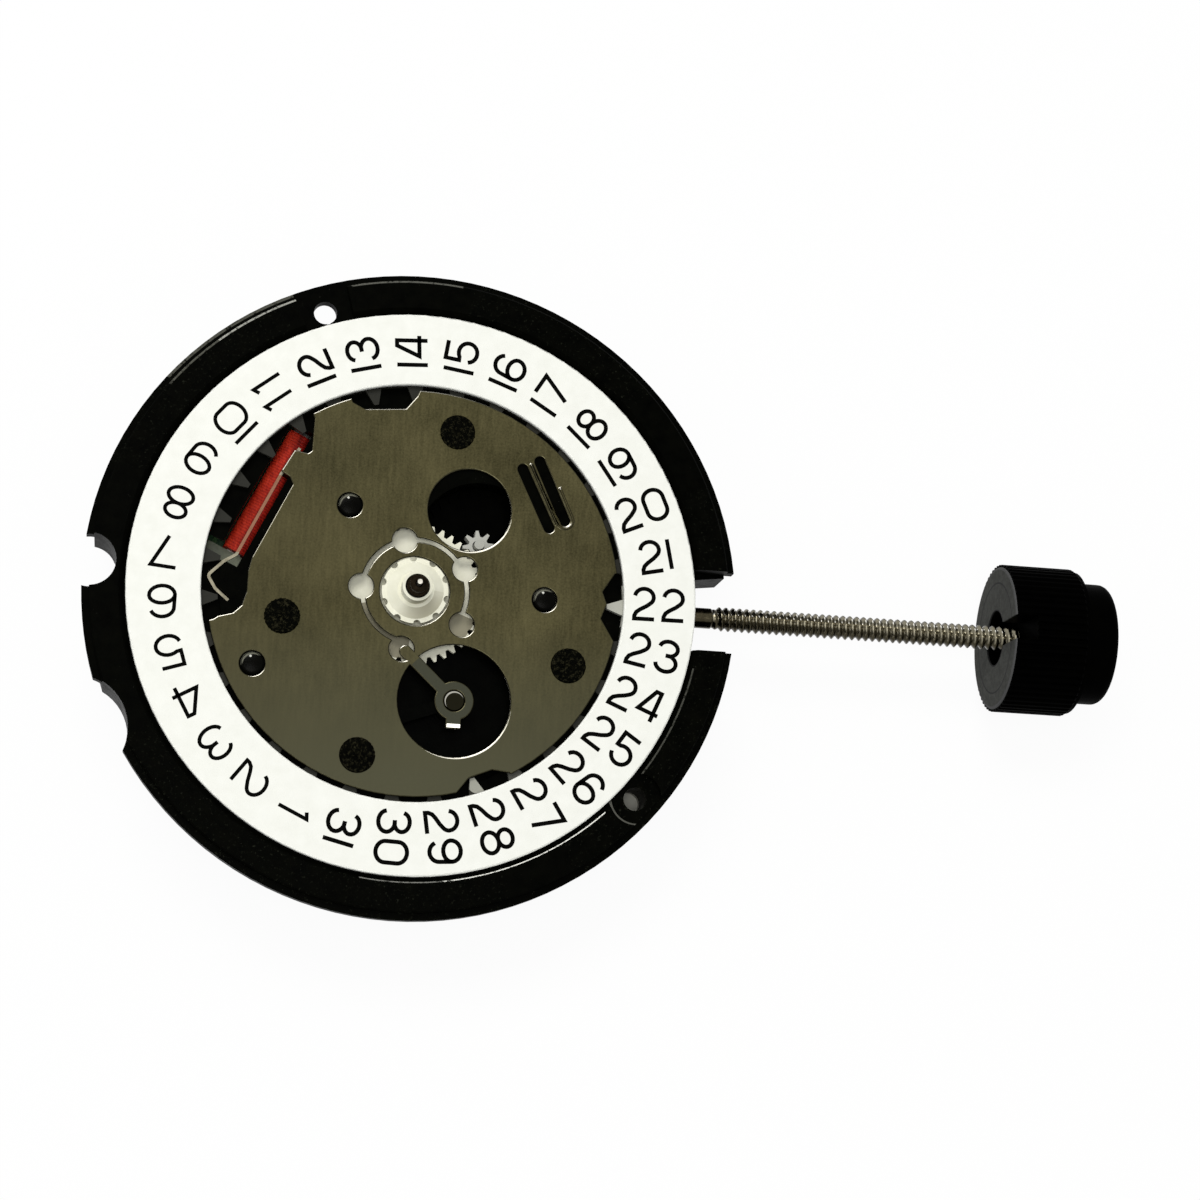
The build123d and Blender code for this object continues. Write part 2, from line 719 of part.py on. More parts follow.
def date_arm(low, high):
    """Arm across the lower hole, with the ring round the date wheel's post and its bent tail."""
    ring_gap = date_post_radius + post_gap
    out = polar(date_hole_radius + arm_width, date_wheel_angle + arm_turn)
    start = (date_wheel_at[0] - out[0], date_wheel_at[1] - out[1])
    arm = slab(bar(start, date_wheel_at, arm_width), low, high)
    arm += disc(arm_ring_radius, low, high, date_wheel_at)
    tail = Pos(date_wheel_at[0], date_wheel_at[1] - tail_length / 2)
    arm += slab(tail * Rectangle(tail_width, tail_length), low, high)
    return arm - disc(ring_gap, low - cut_over, high + cut_over, date_wheel_at)


def date_disc():
    """White ring with a thin skirt and a ring of inner teeth below the plate."""
    body = ring(disc_outer_radius, disc_inner_radius, disc_bottom, disc_top)
    body = fillet(body.edges().group_by(Axis.Z)[-1], disc_rounding)
    skirt = disc(disc_skirt_radius, tooth_bottom, disc_bottom)
    skirt -= disc(disc_inner_radius, tooth_bottom - cut_over, disc_bottom + cut_over)
    teeth = disc(disc_inner_radius, tooth_bottom, tooth_top)
    gap_turn = disc_tooth_angle + 180 / disc_tooth_count
    gaps = toothed(
        disc_tooth_count, disc_tooth_tip_radius, disc_inner_radius, gap_turn,
        disc_gap_root_share, disc_gap_tip_share
    )
    teeth -= slab(gaps, tooth_bottom - cut_over, tooth_top + cut_over)
    return body + skirt + teeth


def jumper_outline(width):
    """Bent line of the date jumper, drawn with a width."""
    points = [(x * date_plate_radius, y * date_plate_radius) for x, y in jumper_shares]
    return trace(FilletPolyline(*points, radius=jumper_rounding), width)


def date_jumper():
    """Wire spring along the coil, whose bent nose drops between two teeth of the date disc."""
    return slab(jumper_outline(jumper_wire), jumper_low, jumper_low + jumper_wire)


def hour_wheel():
    """Hour wheel: gear, date gear below it, scalloped hub, cone and pipe."""
    wheel = gear(hour_teeth, hour_module, hour_turn, hour_gear_bottom, hour_gear_top)
    wheel += gear(hour_date_teeth, date_module, hour_turn, date_gear_bottom, hour_gear_bottom)
    wheel += disc(hub_core_radius, hour_gear_top, hub_flange_top)
    flange = disc(hub_flange_radius, hub_flange_top - hub_flange_thickness, hub_flange_top)
    for notch in range(hub_notch_count):
        at = polar(hub_flange_radius, notch * 360 / hub_notch_count + hub_notch_turn)
        flange -= disc(hub_notch_radius, hub_flange_top - cut_over, hub_flange_top + cut_over, at)
    wheel += flange
    cone_height = hub_cone_top - hub_flange_top
    cone = Pos(0, 0, hub_flange_top + cone_height / 2) * Cone(
        hub_core_radius, hub_cone_radius, cone_height
    )
    wheel += cone + disc(hour_pipe_radius, hub_flange_top, hour_pipe_top)
    return wheel - disc(hour_pipe_bore, date_gear_bottom - cut_over, hour_pipe_top + cut_over)


def cannon_pinion():
    """Steel tube through the plate with the cannon leaves and the minute hand's seat."""
    tube = disc(cannon_radius, centre_wheel_bottom, hour_pipe_top + cannon_shoulder_rise)
    tube += disc(minute_seat_radius, hour_pipe_top, minute_seat_top)
    tube += gear(cannon_teeth, motion_module, cannon_turn, motion_bottom, motion_top)
    return tube - disc(cannon_bore, centre_wheel_bottom - cut_over, minute_seat_top + cut_over)


def centre_wheel():
    """Wheel on the cannon pinion's lower end."""
    wheel = gear(centre_teeth, centre_module, centre_turn, centre_wheel_bottom, centre_wheel_top)
    return wheel - disc(cannon_radius, centre_wheel_bottom - cut_over, centre_wheel_top + cut_over)


def minute_wheel():
    """Minute wheel with its pinion above, turning on a post of the main plate."""
    wheel = gear(minute_teeth, motion_module, minute_turn, motion_bottom, motion_top, minute_wheel_at)
    wheel += gear(
        minute_pinion_teeth, hour_module, minute_pinion_turn, motion_top, hour_gear_top + layer_gap,
        minute_wheel_at
    )
    bore = motion_post_radius + post_gap
    return wheel - disc(bore, motion_bottom - cut_over, cut_over, minute_wheel_at)


def date_wheel():
    """Date wheel with its hub and the finger that moves the disc once a day."""
    wheel = gear(
        date_gear_teeth, date_module, date_turn, date_gear_bottom, date_gear_top, date_wheel_at
    )
    finger_top = date_plate_seat - layer_gap - layer_gap / 2
    wheel += disc(date_hub_radius, date_gear_top, finger_top, date_wheel_at)
    reach = polar(finger_reach - finger_width / 2, finger_angle)
    tip = (date_wheel_at[0] + reach[0], date_wheel_at[1] + reach[1])
    wheel += slab(bar(date_wheel_at, tip, finger_width), finger_top - finger_thickness, finger_top)
    bore = date_post_radius + post_gap
    return wheel - disc(bore, date_gear_bottom - cut_over, cut_over, date_wheel_at)


def arbor(at):
    """Arbor between the bridge and the main plate, with a thinner pivot at each end."""
    shaft = disc(arbor_radius, back_seat + shoulder_gap, web_bottom - shoulder_gap, at)
    return shaft + disc(pivot_radius, bridge_back, web_bottom + pivot_length - shoulder_gap, at)


def seconds_wheel():
    """Seconds wheel, its pinion and the long arbor that carries the seconds hand."""
    wheel = gear(seconds_teeth, fifth_module, 0, seconds_wheel_bottom, seconds_wheel_top)
    pinion_top = third_wheel_top + train_gap / 2
    wheel += gear(
        seconds_pinion_teeth, third_module, 0, seconds_wheel_top, pinion_top
    )
    return wheel + disc(seconds_arbor_radius, bridge_back, seconds_post_top)


def third_wheel():
    """Third wheel and the pinion that drives the centre wheel."""
    wheel = gear(third_teeth, third_module, third_turn, third_wheel_bottom, third_wheel_top, third_at)
    wheel += gear(
        third_pinion_teeth, centre_module, third_turn, third_wheel_top,
        centre_wheel_top + train_gap / 2, third_at
    )
    return wheel + arbor(third_at)


def fifth_wheel():
    """Wheel between the rotor and the seconds wheel."""
    wheel = gear(fifth_teeth, rotor_module, fifth_turn, fifth_wheel_bottom, fifth_wheel_top, fifth_at)
    wheel += gear(
        fifth_pinion_teeth, fifth_module, fifth_turn, seconds_wheel_bottom, fifth_wheel_bottom,
        fifth_at
    )
    return wheel + arbor(fifth_at)


def rotor():
    """Round magnet on an arbor with its pinion."""
    body = disc(magnet_radius, magnet_bottom, magnet_top, rotor_at)
    body += gear(
        rotor_pinion_teeth, rotor_module, rotor_turn, magnet_top, fifth_wheel_top + train_gap / 2,
        rotor_at
    )
    return body + arbor(rotor_at)


def stator_outline(room):
    """Stator plate: a bar round the rotor with two arms out to the coil's core."""
    rotor_offset = rotor_place_distance * cos(radians(rotor_angle - coil_angle - 90))
    low = coil_start - core_end - room
    high = coil_start + coil_length + core_end + room
    inner = rotor_offset - stator_width / 2 - room
    outer = rotor_offset + stator_width / 2 + room
    reach = coil_offset + core_width / 2 + room
    outline = coil_box(low, high, inner, outer)
    outline += coil_box(low, low + core_end + room * 2, outer - room, reach)
    outline += coil_box(high - core_end - room * 2, high, outer - room, reach)
    return outline


def stator():
    """Soft iron stator with the rotor's hole."""
    plate = slab(stator_outline(0), stator_bottom, magnet_top)
    hole = magnet_radius + stator_hole_gap
    plate -= disc(hole, stator_bottom - cut_over, magnet_top + cut_over, rotor_at)
    screw_at = placed(bridge_screw_shares[0])
    screw_hole = screw_shank_radius + screw_gap
    return plate - disc(screw_hole, stator_bottom - cut_over, magnet_top + cut_over, screw_at)


def coil_pocket_outline():
    """Pocket of coil and circuit, bounded by the rim wall."""
    low = coil_start - core_end - coil_pocket_room
    high = coil_start + coil_length + core_end + coil_pocket_room
    box = coil_box(low, high, coil_pocket_inner, flange_radius)
    return box & Circle(body_radius - rim_wall)


def coil_opening_outline():
    """Opening towards the dial over the winding and its terminal."""
    low = coil_start - core_end
    half = coil_width / 2
    strip = coil_box(low, coil_start + coil_length, coil_offset - half, coil_offset + half)
    return strip + coil_box(low, coil_start, coil_offset, coil_offset + terminal_outer)


def coil_terminal():
    """Small board on the end of the core, where the winding's two ends are soldered."""
    low = coil_start - core_end
    high = coil_start - coil_gap
    outline = coil_box(low, high, coil_offset - terminal_inner, coil_offset + terminal_outer)
    return slab(outline, core_top, core_top + board_thickness)


def coil_core():
    """Core strip that lies on the stator's arms."""
    low = coil_start - core_end
    high = coil_start + coil_length + core_end
    half = core_width / 2
    return slab(coil_box(low, high, coil_offset - half, coil_offset + half), core_bottom, core_top)


def coil_winding():
    """Wound body of the coil round its core."""
    at = coil_point(coil_start + coil_length / 2, coil_offset)
    body = Box(coil_length, coil_width, coil_height)
    body = fillet(body.edges().filter_by(Axis.X), coil_rounding)
    body -= Box(coil_length + cut_over, core_width, core_thickness)
    return Pos(at[0], at[1], coil_middle) * Rot(0, 0, coil_angle) * body


def circuit_board():
    """Thin board that closes the back of the pocket of coil and circuit."""
    low = coil_start - core_end
    high = coil_start + coil_length + core_end
    board = coil_box(low, high, coil_pocket_inner + coil_pocket_room, flange_radius)
    inside = Circle(body_radius - rim_wall - coil_pocket_room)
    return slab(board & inside, board_bottom, board_top)


def quartz_can():
    """Crystal can that lies on the board beside the coil."""
    at = coil_point(coil_start + chip_room + can_length / 2, can_offset)
    can = Rot(0, 90, 0) * Cylinder(can_radius, can_length)
    can = fillet(can.edges(), can_radius / 4)
    return Pos(at[0], at[1], board_top + can_radius) * Rot(0, 0, coil_angle) * can


def control_chip():
    """Resin drop over the chip on the board."""
    at = coil_point(coil_start, can_offset)
    drop = disc(chip_radius, board_top, board_top + chip_height, at)
    return fillet(drop.edges().group_by(Axis.Z)[-1], chip_height / 2)


def train_bridge():
    """Bridge over the going train, with a bearing eye for each arbor and a lug for each screw."""
    eyes = [(0, 0), third_at, fifth_at, rotor_at] + [placed(share) for share in bridge_screw_shares]
    circles = [Pos(*at) * Circle(bridge_eye_radius) for at in eyes]
    outline = make_hull([edge for circle in circles for edge in circle.edges()])
    bridge = slab(outline, bridge_back, back_seat)
    for at in eyes[1:4]:
        bridge -= disc(pivot_radius + pivot_gap, bridge_back - cut_over, back_seat + cut_over, at)
    bridge -= disc(jewel_radius, bridge_back - cut_over, back_seat + cut_over)
    for at in eyes[4:]:
        hole = screw_shank_radius + screw_gap
        bridge -= disc(hole, bridge_back - cut_over, back_seat + cut_over, at)
    return bridge


def seconds_bearing():
    """Jewel bearing of the seconds arbor in the bridge."""
    return ring(jewel_radius, seconds_arbor_radius + pivot_gap, bridge_back, back_seat)


def screw(at, seat, depth):
    """Slotted screw with its head on the back, from its seat up into the plate."""
    head = disc(screw_head_radius, seat - screw_head_height, seat, at)
    slot = Pos(at[0], at[1], seat - screw_head_height) * Box(
        2 * screw_head_radius, screw_slot_width, screw_head_height
    )
    return head - slot + disc(screw_shank_radius, seat, seat + depth, at)


def bridge_screws():
    """Screws of the train bridge."""
    return Compound([
        screw(placed(share), bridge_back, bridge_screw_depth) for share in bridge_screw_shares
    ])


def battery():
    """Button cell: a wide case with a smaller raised cap towards the dial."""
    case = disc(battery_radius, rim_back, battery_top - battery_step, battery_at)
    case = fillet(case.edges().group_by(Axis.Z)[0], battery_rounding)
    return case + disc(battery_radius - battery_step, rim_back + battery_step, battery_top, battery_at)


def battery_insulator():
    """Plastic ring between the cell and its well."""
    outer = battery_radius + battery_well_gap
    inner = outer - insulator_wall
    return ring(outer, inner, back_seat + battery_step, battery_top - battery_step, battery_at)


def minus_contact():
    """Thin contact strip between the cell's cap and the floor of its well."""
    half = battery_radius / 2
    strip = bar(
        (battery_at[0] - half, battery_at[1]), (battery_at[0] + half, battery_at[1]), contact_width
    )
    return slab(strip, battery_top, battery_top + contact_thickness)


def battery_clamp():
    """Spring plate over the cell, with a foot stepped down to the main plate for its screw."""
    low = rim_back - clamp_thickness
    side = battery_radius - clamp_width / 2
    first = (battery_at[0] - side, battery_at[1])
    last = (battery_at[0] + side, battery_at[1])
    plate = slab(bar(first, last, clamp_width), low, rim_back)
    reach = hypot(clamp_screw_at[0] - battery_at[0], clamp_screw_at[1] - battery_at[1])
    step = battery_radius + battery_well_gap
    strap = slab(clamp_strip(0, step + clamp_thickness), low, rim_back)
    strap += slab(clamp_strip(step, step + clamp_thickness), low, back_seat)
    strap += slab(clamp_strip(step, reach), back_seat - clamp_thickness, back_seat)
    strap += disc(clamp_width / 2, back_seat - clamp_thickness, back_seat, clamp_screw_at)
    hole = screw_shank_radius + screw_gap
    return plate + strap - disc(hole, low - cut_over, back_seat + cut_over, clamp_screw_at)


def clamp_strip(start, end):
    """Flat rectangle on the line from the cell's centre to the clamp's screw."""
    turn = degrees(atan2(clamp_screw_at[1] - battery_at[1], clamp_screw_at[0] - battery_at[0]))
    strip = Rectangle(end - start, clamp_width, align=(Align.MIN, Align.CENTER))
    return Pos(*battery_at) * Rot(0, 0, turn) * Pos(start, 0) * strip


def clamp_screw():
    """Screw of the battery clamp."""
    return screw(clamp_screw_at, back_seat - clamp_thickness, clamp_screw_depth)


def setting_stem():
    """Stem: pilot, square, neck with its groove, and the long threaded end."""
    stem = along_stem(pilot_radius, pilot_start, square_start)
    square_length = neck_start - square_start
    stem += Pos(square_start + square_length / 2, 0, stem_height) * Box(
        square_length, square_side, square_side
    )
    stem += along_stem(stem_neck_radius, neck_start, thread_start)
    stem += along_stem(thread_radius, thread_start, stem_end)
    low = groove_middle - groove_width / 2
    groove = along_stem(stem_neck_radius + cut_over, low, low + groove_width)
    groove -= along_stem(groove_radius, low - cut_over, low + groove_width + cut_over)
    return stem - groove


def sliding_pinion():
    """Sliding pinion with teeth at both ends, a groove for the yoke and a square hole."""
    outline = toothed(pinion_teeth, pinion_root_radius, pinion_radius, 0)
    body = extrude(outline, pinion_length, dir=(0, 0, 1))
    groove = ring(
        pinion_radius + cut_over, pinion_groove_radius, pinion_groove_start,
        pinion_groove_start + pinion_groove_width
    )
    hole = square_side + 2 * square_gap
    body -= groove
    body -= Pos(0, 0, pinion_length / 2) * Box(hole, hole, pinion_length + cut_over)
    return Pos(pinion_start, 0, stem_height) * Rot(0, 90, 0) * body


def crown():
    """Fitting crown: ribbed grip, recessed face with a slot, and a smaller boss behind."""
    root_radius = crown_radius - crown_rib_height
    back = crown_face + crown_length
    body = along_stem(root_radius, crown_face, back)
    body = fillet(body.edges().sort_by(Axis.X)[0], crown_lip)
    grip = chamfer(along_stem(crown_radius, crown_face, back).edges().sort_by(Axis.X)[-1], crown_bevel)
    outline = toothed(
        crown_rib_count, root_radius, crown_radius, 0, crown_rib_root_share, crown_rib_tip_share
    )
    ribs = extrude(outline, crown_length - crown_lip, dir=(0, 0, 1))
    body += Pos(crown_face + crown_lip, 0, stem_height) * Rot(0, 90, 0) * ribs & grip
    boss = along_stem(crown_boss_radius, crown_face + crown_length / 2, back + crown_boss_length)
    body += fillet(boss.edges().sort_by(Axis.X)[-1], crown_rounding)
    body -= along_stem(crown_recess_radius, crown_face - cut_over, crown_face + crown_recess_depth)
    body -= Pos(crown_face, 0, stem_height + crown_radius / 2) * Box(
        2 * crown_recess_depth, 2 * thread_radius, crown_radius
    )
    return body - along_stem(thread_radius, crown_face, stem_end)


def setting_lever():
    """Lever on its post, with the upturned pin that sits in the stem's groove."""
    low = back_seat + lever_room
    high = low + lever_thickness
    pin_at = (groove_middle, lever_pivot_at[1] + lever_arm * cos(radians(lever_half_swing)))
    tail_at = (lever_pivot_at[0] - lever_tail_length, lever_pivot_at[1] - lever_width / 4)
    lever = slab(bar(lever_pivot_at, pin_at, lever_width), low, high)
    lever += slab(bar(lever_pivot_at, tail_at, lever_width / 2), low, high)
    pin_top = stem_height - groove_radius - layer_gap
    lever += disc(lever_pin_radius, low, pin_top, pin_at)
    bore = lever_post_radius + post_gap
    return lever - disc(bore, low - cut_over, high + cut_over, lever_pivot_at)


def yoke():
    """Fork arm that sits in the sliding pinion's groove."""
    low = back_seat + lever_room
    high = low + lever_thickness
    arm = slab(bar(yoke_pivot_at, (yoke_line, -yoke_reach), yoke_width), low, high)
    arm += disc(yoke_boss_radius, low, high, yoke_pivot_at)
    bore = lever_post_radius + post_gap
    return arm - disc(bore, low - cut_over, high + cut_over, yoke_pivot_at)


def setting_cover():
    """Steel cover that holds the lever and the yoke, with a window over the sliding pinion."""
    screws = [placed(share) for share in cover_screw_shares]
    circles = [Pos(*at) * Circle(cover_eye_radius) for at in screws + [yoke_pivot_at]]
    circles.append(Pos(*lever_pivot_at) * Circle(cover_margin))
    outline = make_hull([edge for circle in circles for edge in circle.edges()])
    cover = slab(outline, bridge_back, back_seat)
    low = bridge_back - cut_over
    high = back_seat + cut_over
    for at in screws:
        cover -= disc(screw_shank_radius + screw_gap, low, high, at)
    tail_at = (lever_pivot_at[0] - lever_tail_length, lever_pivot_at[1] - lever_width / 4)
    cover -= disc(release_hole_radius, low, high, tail_at)
    half = cover_window_width / 2
    start = pinion_start + half
    opening = bar((start, 0), (pinion_start + pinion_length, 0), cover_window_width)
    return cover - slab(opening, low, high)


def cover_screws():
    """Screws of the setting cover."""
    return Compound([
        screw(placed(share), bridge_back, cover_screw_depth) for share in cover_screw_shares
    ])


def setting_wheel():
    """Wheel between the sliding pinion and the minute wheel."""
    wheel = gear(
        setting_teeth, motion_module, setting_turn, motion_bottom, motion_top, setting_wheel_at
    )
    bore = plate_pin_radius + post_gap
    return wheel - disc(bore, motion_bottom - cut_over, cut_over, setting_wheel_at)


def corrector_wheel():
    """Star wheel that sets the date when the stem is turned half pulled out."""
    top = tooth_top - disc_under_gap / 2
    outline = toothed(
        corrector_teeth, corrector_reach / 2, corrector_reach, 0, star_root_share, star_tip_share
    )
    wheel = Pos(*corrector_at, 0) * slab(outline, top - corrector_thickness, top)
    bore = motion_post_radius + post_gap
    return wheel - disc(bore, tooth_bottom - cut_over, cut_over, corrector_at)


nodes = {
    "main_plate": main_plate,
    "date_plate": date_plate,
    "date_disc": date_disc,
    "date_jumper": date_jumper,
    "hour_wheel": hour_wheel,
    "cannon_pinion": cannon_pinion,
    "centre_wheel": centre_wheel,
    "minute_wheel": minute_wheel,
    "date_wheel": date_wheel,
    "seconds_wheel": seconds_wheel,
    "third_wheel": third_wheel,
    "fifth_wheel": fifth_wheel,
    "rotor": rotor,
    "stator": stator,
    "coil_core": coil_core,
    "coil_winding": coil_winding,
    "coil_terminal": coil_terminal,
    "circuit_board": circuit_board,
    "quartz_can": quartz_can,
    "control_chip": control_chip,
    "train_bridge": train_bridge,
    "seconds_bearing": seconds_bearing,
    "bridge_screws": bridge_screws,
    "battery": battery,
    "battery_insulator": battery_insulator,
    "minus_contact": minus_contact,
    "battery_clamp": battery_clamp,
    "clamp_screw": clamp_screw,
    "setting_stem": setting_stem,
    "sliding_pinion": sliding_pinion,
    "crown": crown,
    "setting_lever": setting_lever,
    "yoke": yoke,
    "setting_cover": setting_cover,
    "cover_screws": cover_screws,
    "setting_wheel": setting_wheel,
    "corrector_wheel": corrector_wheel,
}

for name, build in nodes.items():
    export_step(build(), f"parts/{name}.step")
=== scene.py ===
import math

import bpy
from mathutils import Matrix, Vector


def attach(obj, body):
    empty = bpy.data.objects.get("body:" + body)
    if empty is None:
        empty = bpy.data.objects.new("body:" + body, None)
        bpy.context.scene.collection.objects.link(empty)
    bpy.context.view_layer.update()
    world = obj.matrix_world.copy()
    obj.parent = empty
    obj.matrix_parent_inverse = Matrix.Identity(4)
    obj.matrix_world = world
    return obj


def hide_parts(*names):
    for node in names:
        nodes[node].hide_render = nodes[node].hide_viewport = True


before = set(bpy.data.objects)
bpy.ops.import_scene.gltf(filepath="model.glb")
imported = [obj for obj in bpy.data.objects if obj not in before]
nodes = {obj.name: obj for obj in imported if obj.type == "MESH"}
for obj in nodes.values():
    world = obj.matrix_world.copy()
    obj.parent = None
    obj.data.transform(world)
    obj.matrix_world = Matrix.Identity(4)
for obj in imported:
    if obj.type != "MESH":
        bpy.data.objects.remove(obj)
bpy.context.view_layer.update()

MM = 0.001


def polar(radius, angle):
    """Place in plan from its distance to the hand axis and its direction in degrees."""
    return radius * math.cos(math.radians(angle)), radius * math.sin(math.radians(angle))


def moved(place, shift):
    return place[0] + shift[0], place[1] + shift[1]


# Places on the object, in millimetres: in plan from the hand axis, and heights

body_radius = 12.8
rim_radii = (11.6, 13.2)
body_levels = (-3.0, 0.5)
stake_head_radius = 0.7
stake_places = [polar(share * body_radius, angle) for share, angle in (
    (0.5297, 78.0), (0.4203, -165.3), (0.5461, -106.2), (0.5328, -22.6))]
setting_wheel = (5.2334, 0.0)
pin_places = [polar(4.32, 129.8), polar(7.09, -152.0), setting_wheel]
minute_wheel = (2.5242, 2.1256)
date_wheel = (1.7796, -4.3177)
lower_foot = (9.2135, -7.8136)
upper_hole, upper_hole_radius = polar(0.3141 * body_radius, 59.4), 1.69
lower_hole, lower_hole_radius = date_wheel, 2.26
plate_top = -0.15
plate_levels = (-0.4, 0.0)
disc_top = -0.05
teeth_top = -0.27
pinion_floor = -1.255
coil_angle = 64.5
stem_z = -1.75
crown_face_x = 24.555
crown_radius = 3.08


# Node helpers

def principled(name, metallic=0.0, roughness=0.5, specular=0.5, coat=0.0, coat_roughness=0.1):
    """Material with one Principled shader, whose plain values are set on its own sockets."""
    material = bpy.data.materials.new(name)
    material.use_nodes = True
    tree = material.node_tree
    tree.nodes.clear()
    out = tree.nodes.new("ShaderNodeOutputMaterial")
    shader = tree.nodes.new("ShaderNodeBsdfPrincipled")
    tree.links.new(shader.outputs["BSDF"], out.inputs["Surface"])
    shader.inputs["Metallic"].default_value = metallic
    shader.inputs["Roughness"].default_value = roughness
    shader.inputs["Specular IOR Level"].default_value = specular
    shader.inputs["Coat Weight"].default_value = coat
    shader.inputs["Coat Roughness"].default_value = coat_roughness
    return material, tree, shader


def shader_of(material):
    """The Principled shader of a material."""
    return next(n for n in material.node_tree.nodes if n.type == "BSDF_PRINCIPLED")


def position(tree, scale=(1, 1, 1), turn=(0, 0, 0), shift=(0, 0, 0)):
    """Object coordinates in millimetres, stretched, turned and shifted."""
    coords = tree.nodes.new("ShaderNodeTexCoord")
    mapping = tree.nodes.new("ShaderNodeMapping")
    tree.links.new(coords.outputs["Object"], mapping.inputs["Vector"])
    mapping.inputs["Scale"].default_value = [s / MM for s in scale]
    mapping.inputs["Rotation"].default_value = [math.radians(t) for t in turn]
    mapping.inputs["Location"].default_value = shift
    return mapping.outputs["Vector"]


def noise(tree, vector, scale=1.0, detail=2.0, roughness=0.5):
    node = tree.nodes.new("ShaderNodeTexNoise")
    tree.links.new(vector, node.inputs["Vector"])
    node.inputs["Scale"].default_value = scale
    node.inputs["Detail"].default_value = detail
    node.inputs["Roughness"].default_value = roughness
    return node.outputs["Fac"]


def voronoi(tree, vector, scale, randomness=1.0):
    """Distance to the nearest of scattered points."""
    node = tree.nodes.new("ShaderNodeTexVoronoi")
    tree.links.new(vector, node.inputs["Vector"])
    node.inputs["Scale"].default_value = scale
    node.inputs["Randomness"].default_value = randomness
    return node.outputs["Distance"]


def remap(tree, value, low, high, to_low=0.0, to_high=1.0):
    node = tree.nodes.new("ShaderNodeMapRange")
    tree.links.new(value, node.inputs["Value"])
    node.inputs["From Min"].default_value = low
    node.inputs["From Max"].default_value = high
    node.inputs["To Min"].default_value = to_low
    node.inputs["To Max"].default_value = to_high
    return node.outputs["Result"]


def feed(tree, socket, value):
    """Link another node's output into a socket, or set a plain value on it."""
    if hasattr(value, "node"):
        tree.links.new(value, socket)
    else:
        socket.default_value = value


def calc(tree, operation, first, second):
    node = tree.nodes.new("ShaderNodeMath")
    node.operation = operation
    feed(tree, node.inputs[0], first)
    feed(tree, node.inputs[1], second)
    return node.outputs["Value"]


def weighted_sum(tree, *layers):
    """Sum of values, each times its weight."""
    total = 0.0
    for value, weight in layers:
        total = calc(tree, "ADD", total, calc(tree, "MULTIPLY", value, weight))
    return total


def blend_colours(tree, factor, first, second):
    node = tree.nodes.new("ShaderNodeMix")
    node.data_type = "RGBA"
    tree.links.new(factor, node.inputs["Factor"])
    first_colour, second_colour, result = node.inputs[6], node.inputs[7], node.outputs[2]
    for socket, value in ((first_colour, first), (second_colour, second)):
        feed(tree, socket, value if hasattr(value, "node") else (*value, 1))
    return result


def bump(tree, shader, height, strength, depth):
    node = tree.nodes.new("ShaderNodeBump")
    node.inputs["Strength"].default_value = strength
    node.inputs["Distance"].default_value = depth * MM
    tree.links.new(height, node.inputs["Height"])
    tree.links.new(node.outputs["Normal"], shader.inputs["Normal"])


def link_colour(tree, shader, colour):
    tree.links.new(colour, shader.inputs["Base Color"])


def link_roughness(tree, shader, value):
    tree.links.new(value, shader.inputs["Roughness"])


# Masks: one on a part of the surface, zero elsewhere

def part_of(tree, axis):
    """One object coordinate in millimetres."""
    node = tree.nodes.new("ShaderNodeSeparateXYZ")
    tree.links.new(position(tree), node.inputs["Vector"])
    return node.outputs[axis]


def length_of(tree, vector):
    node = tree.nodes.new("ShaderNodeVectorMath")
    node.operation = "LENGTH"
    tree.links.new(vector, node.inputs[0])
    return node.outputs["Value"]


def distance_from(tree, place):
    """Distance in plan from an upright line, in millimetres."""
    x, y = place
    return length_of(tree, position(tree, (1, 1, 0), shift=(-x, -y, 0)))


def within(tree, place, radius):
    return calc(tree, "LESS_THAN", distance_from(tree, place), radius)


def beyond(tree, place, radius):
    return calc(tree, "GREATER_THAN", distance_from(tree, place), radius)


def between(tree, value, low, high):
    """One where the value lies between two limits."""
    over = calc(tree, "GREATER_THAN", value, low)
    return calc(tree, "MULTIPLY", over, calc(tree, "LESS_THAN", value, high))


def all_of(tree, *masks):
    """One where every mask is one."""
    product = masks[0]
    for mask in masks[1:]:
        product = calc(tree, "MULTIPLY", product, mask)
    return product


def slab_of(tree, axis, low, high):
    """One between two levels of an object coordinate."""
    return between(tree, part_of(tree, axis), low, high)


def arc_zone(tree, radii, arc, levels):
    """Part of a ring round the hand axis: its radii, its directions in degrees, its heights."""
    ring = between(tree, distance_from(tree, (0, 0)), *radii)
    angle = calc(tree, "ARCTAN2", part_of(tree, "Y"), part_of(tree, "X"))
    turn = between(tree, angle, *(math.radians(a) for a in arc))
    return all_of(tree, ring, turn, slab_of(tree, "Z", *levels))


def facing(tree, direction):
    """How far a surface faces one direction, from -1 to 1."""
    normal = tree.nodes.new("ShaderNodeNewGeometry").outputs["Normal"]
    node = tree.nodes.new("ShaderNodeVectorMath")
    node.operation = "DOT_PRODUCT"
    tree.links.new(normal, node.inputs[0])
    node.inputs[1].default_value = Vector(direction).normalized()
    return node.outputs["Value"]


crescent_shift = (0.035, -0.07)
wall_overlap = 0.01


def crescent(tree, place, radius):
    """Crescent of a hole's wall: outside the hole, and inside the same circle when shifted."""
    return all_of(tree, within(tree, moved(place, crescent_shift), radius),
                  beyond(tree, place, radius - wall_overlap), slab_of(tree, "Z", *plate_levels))


def shade(material, mask, colour):
    """Second colour laid over a material's own one, where the mask is one."""
    tree = material.node_tree
    socket = shader_of(material).inputs["Base Color"]
    own = socket.links[0].from_socket
    tree.links.new(blend_colours(tree, mask, own, colour), socket)


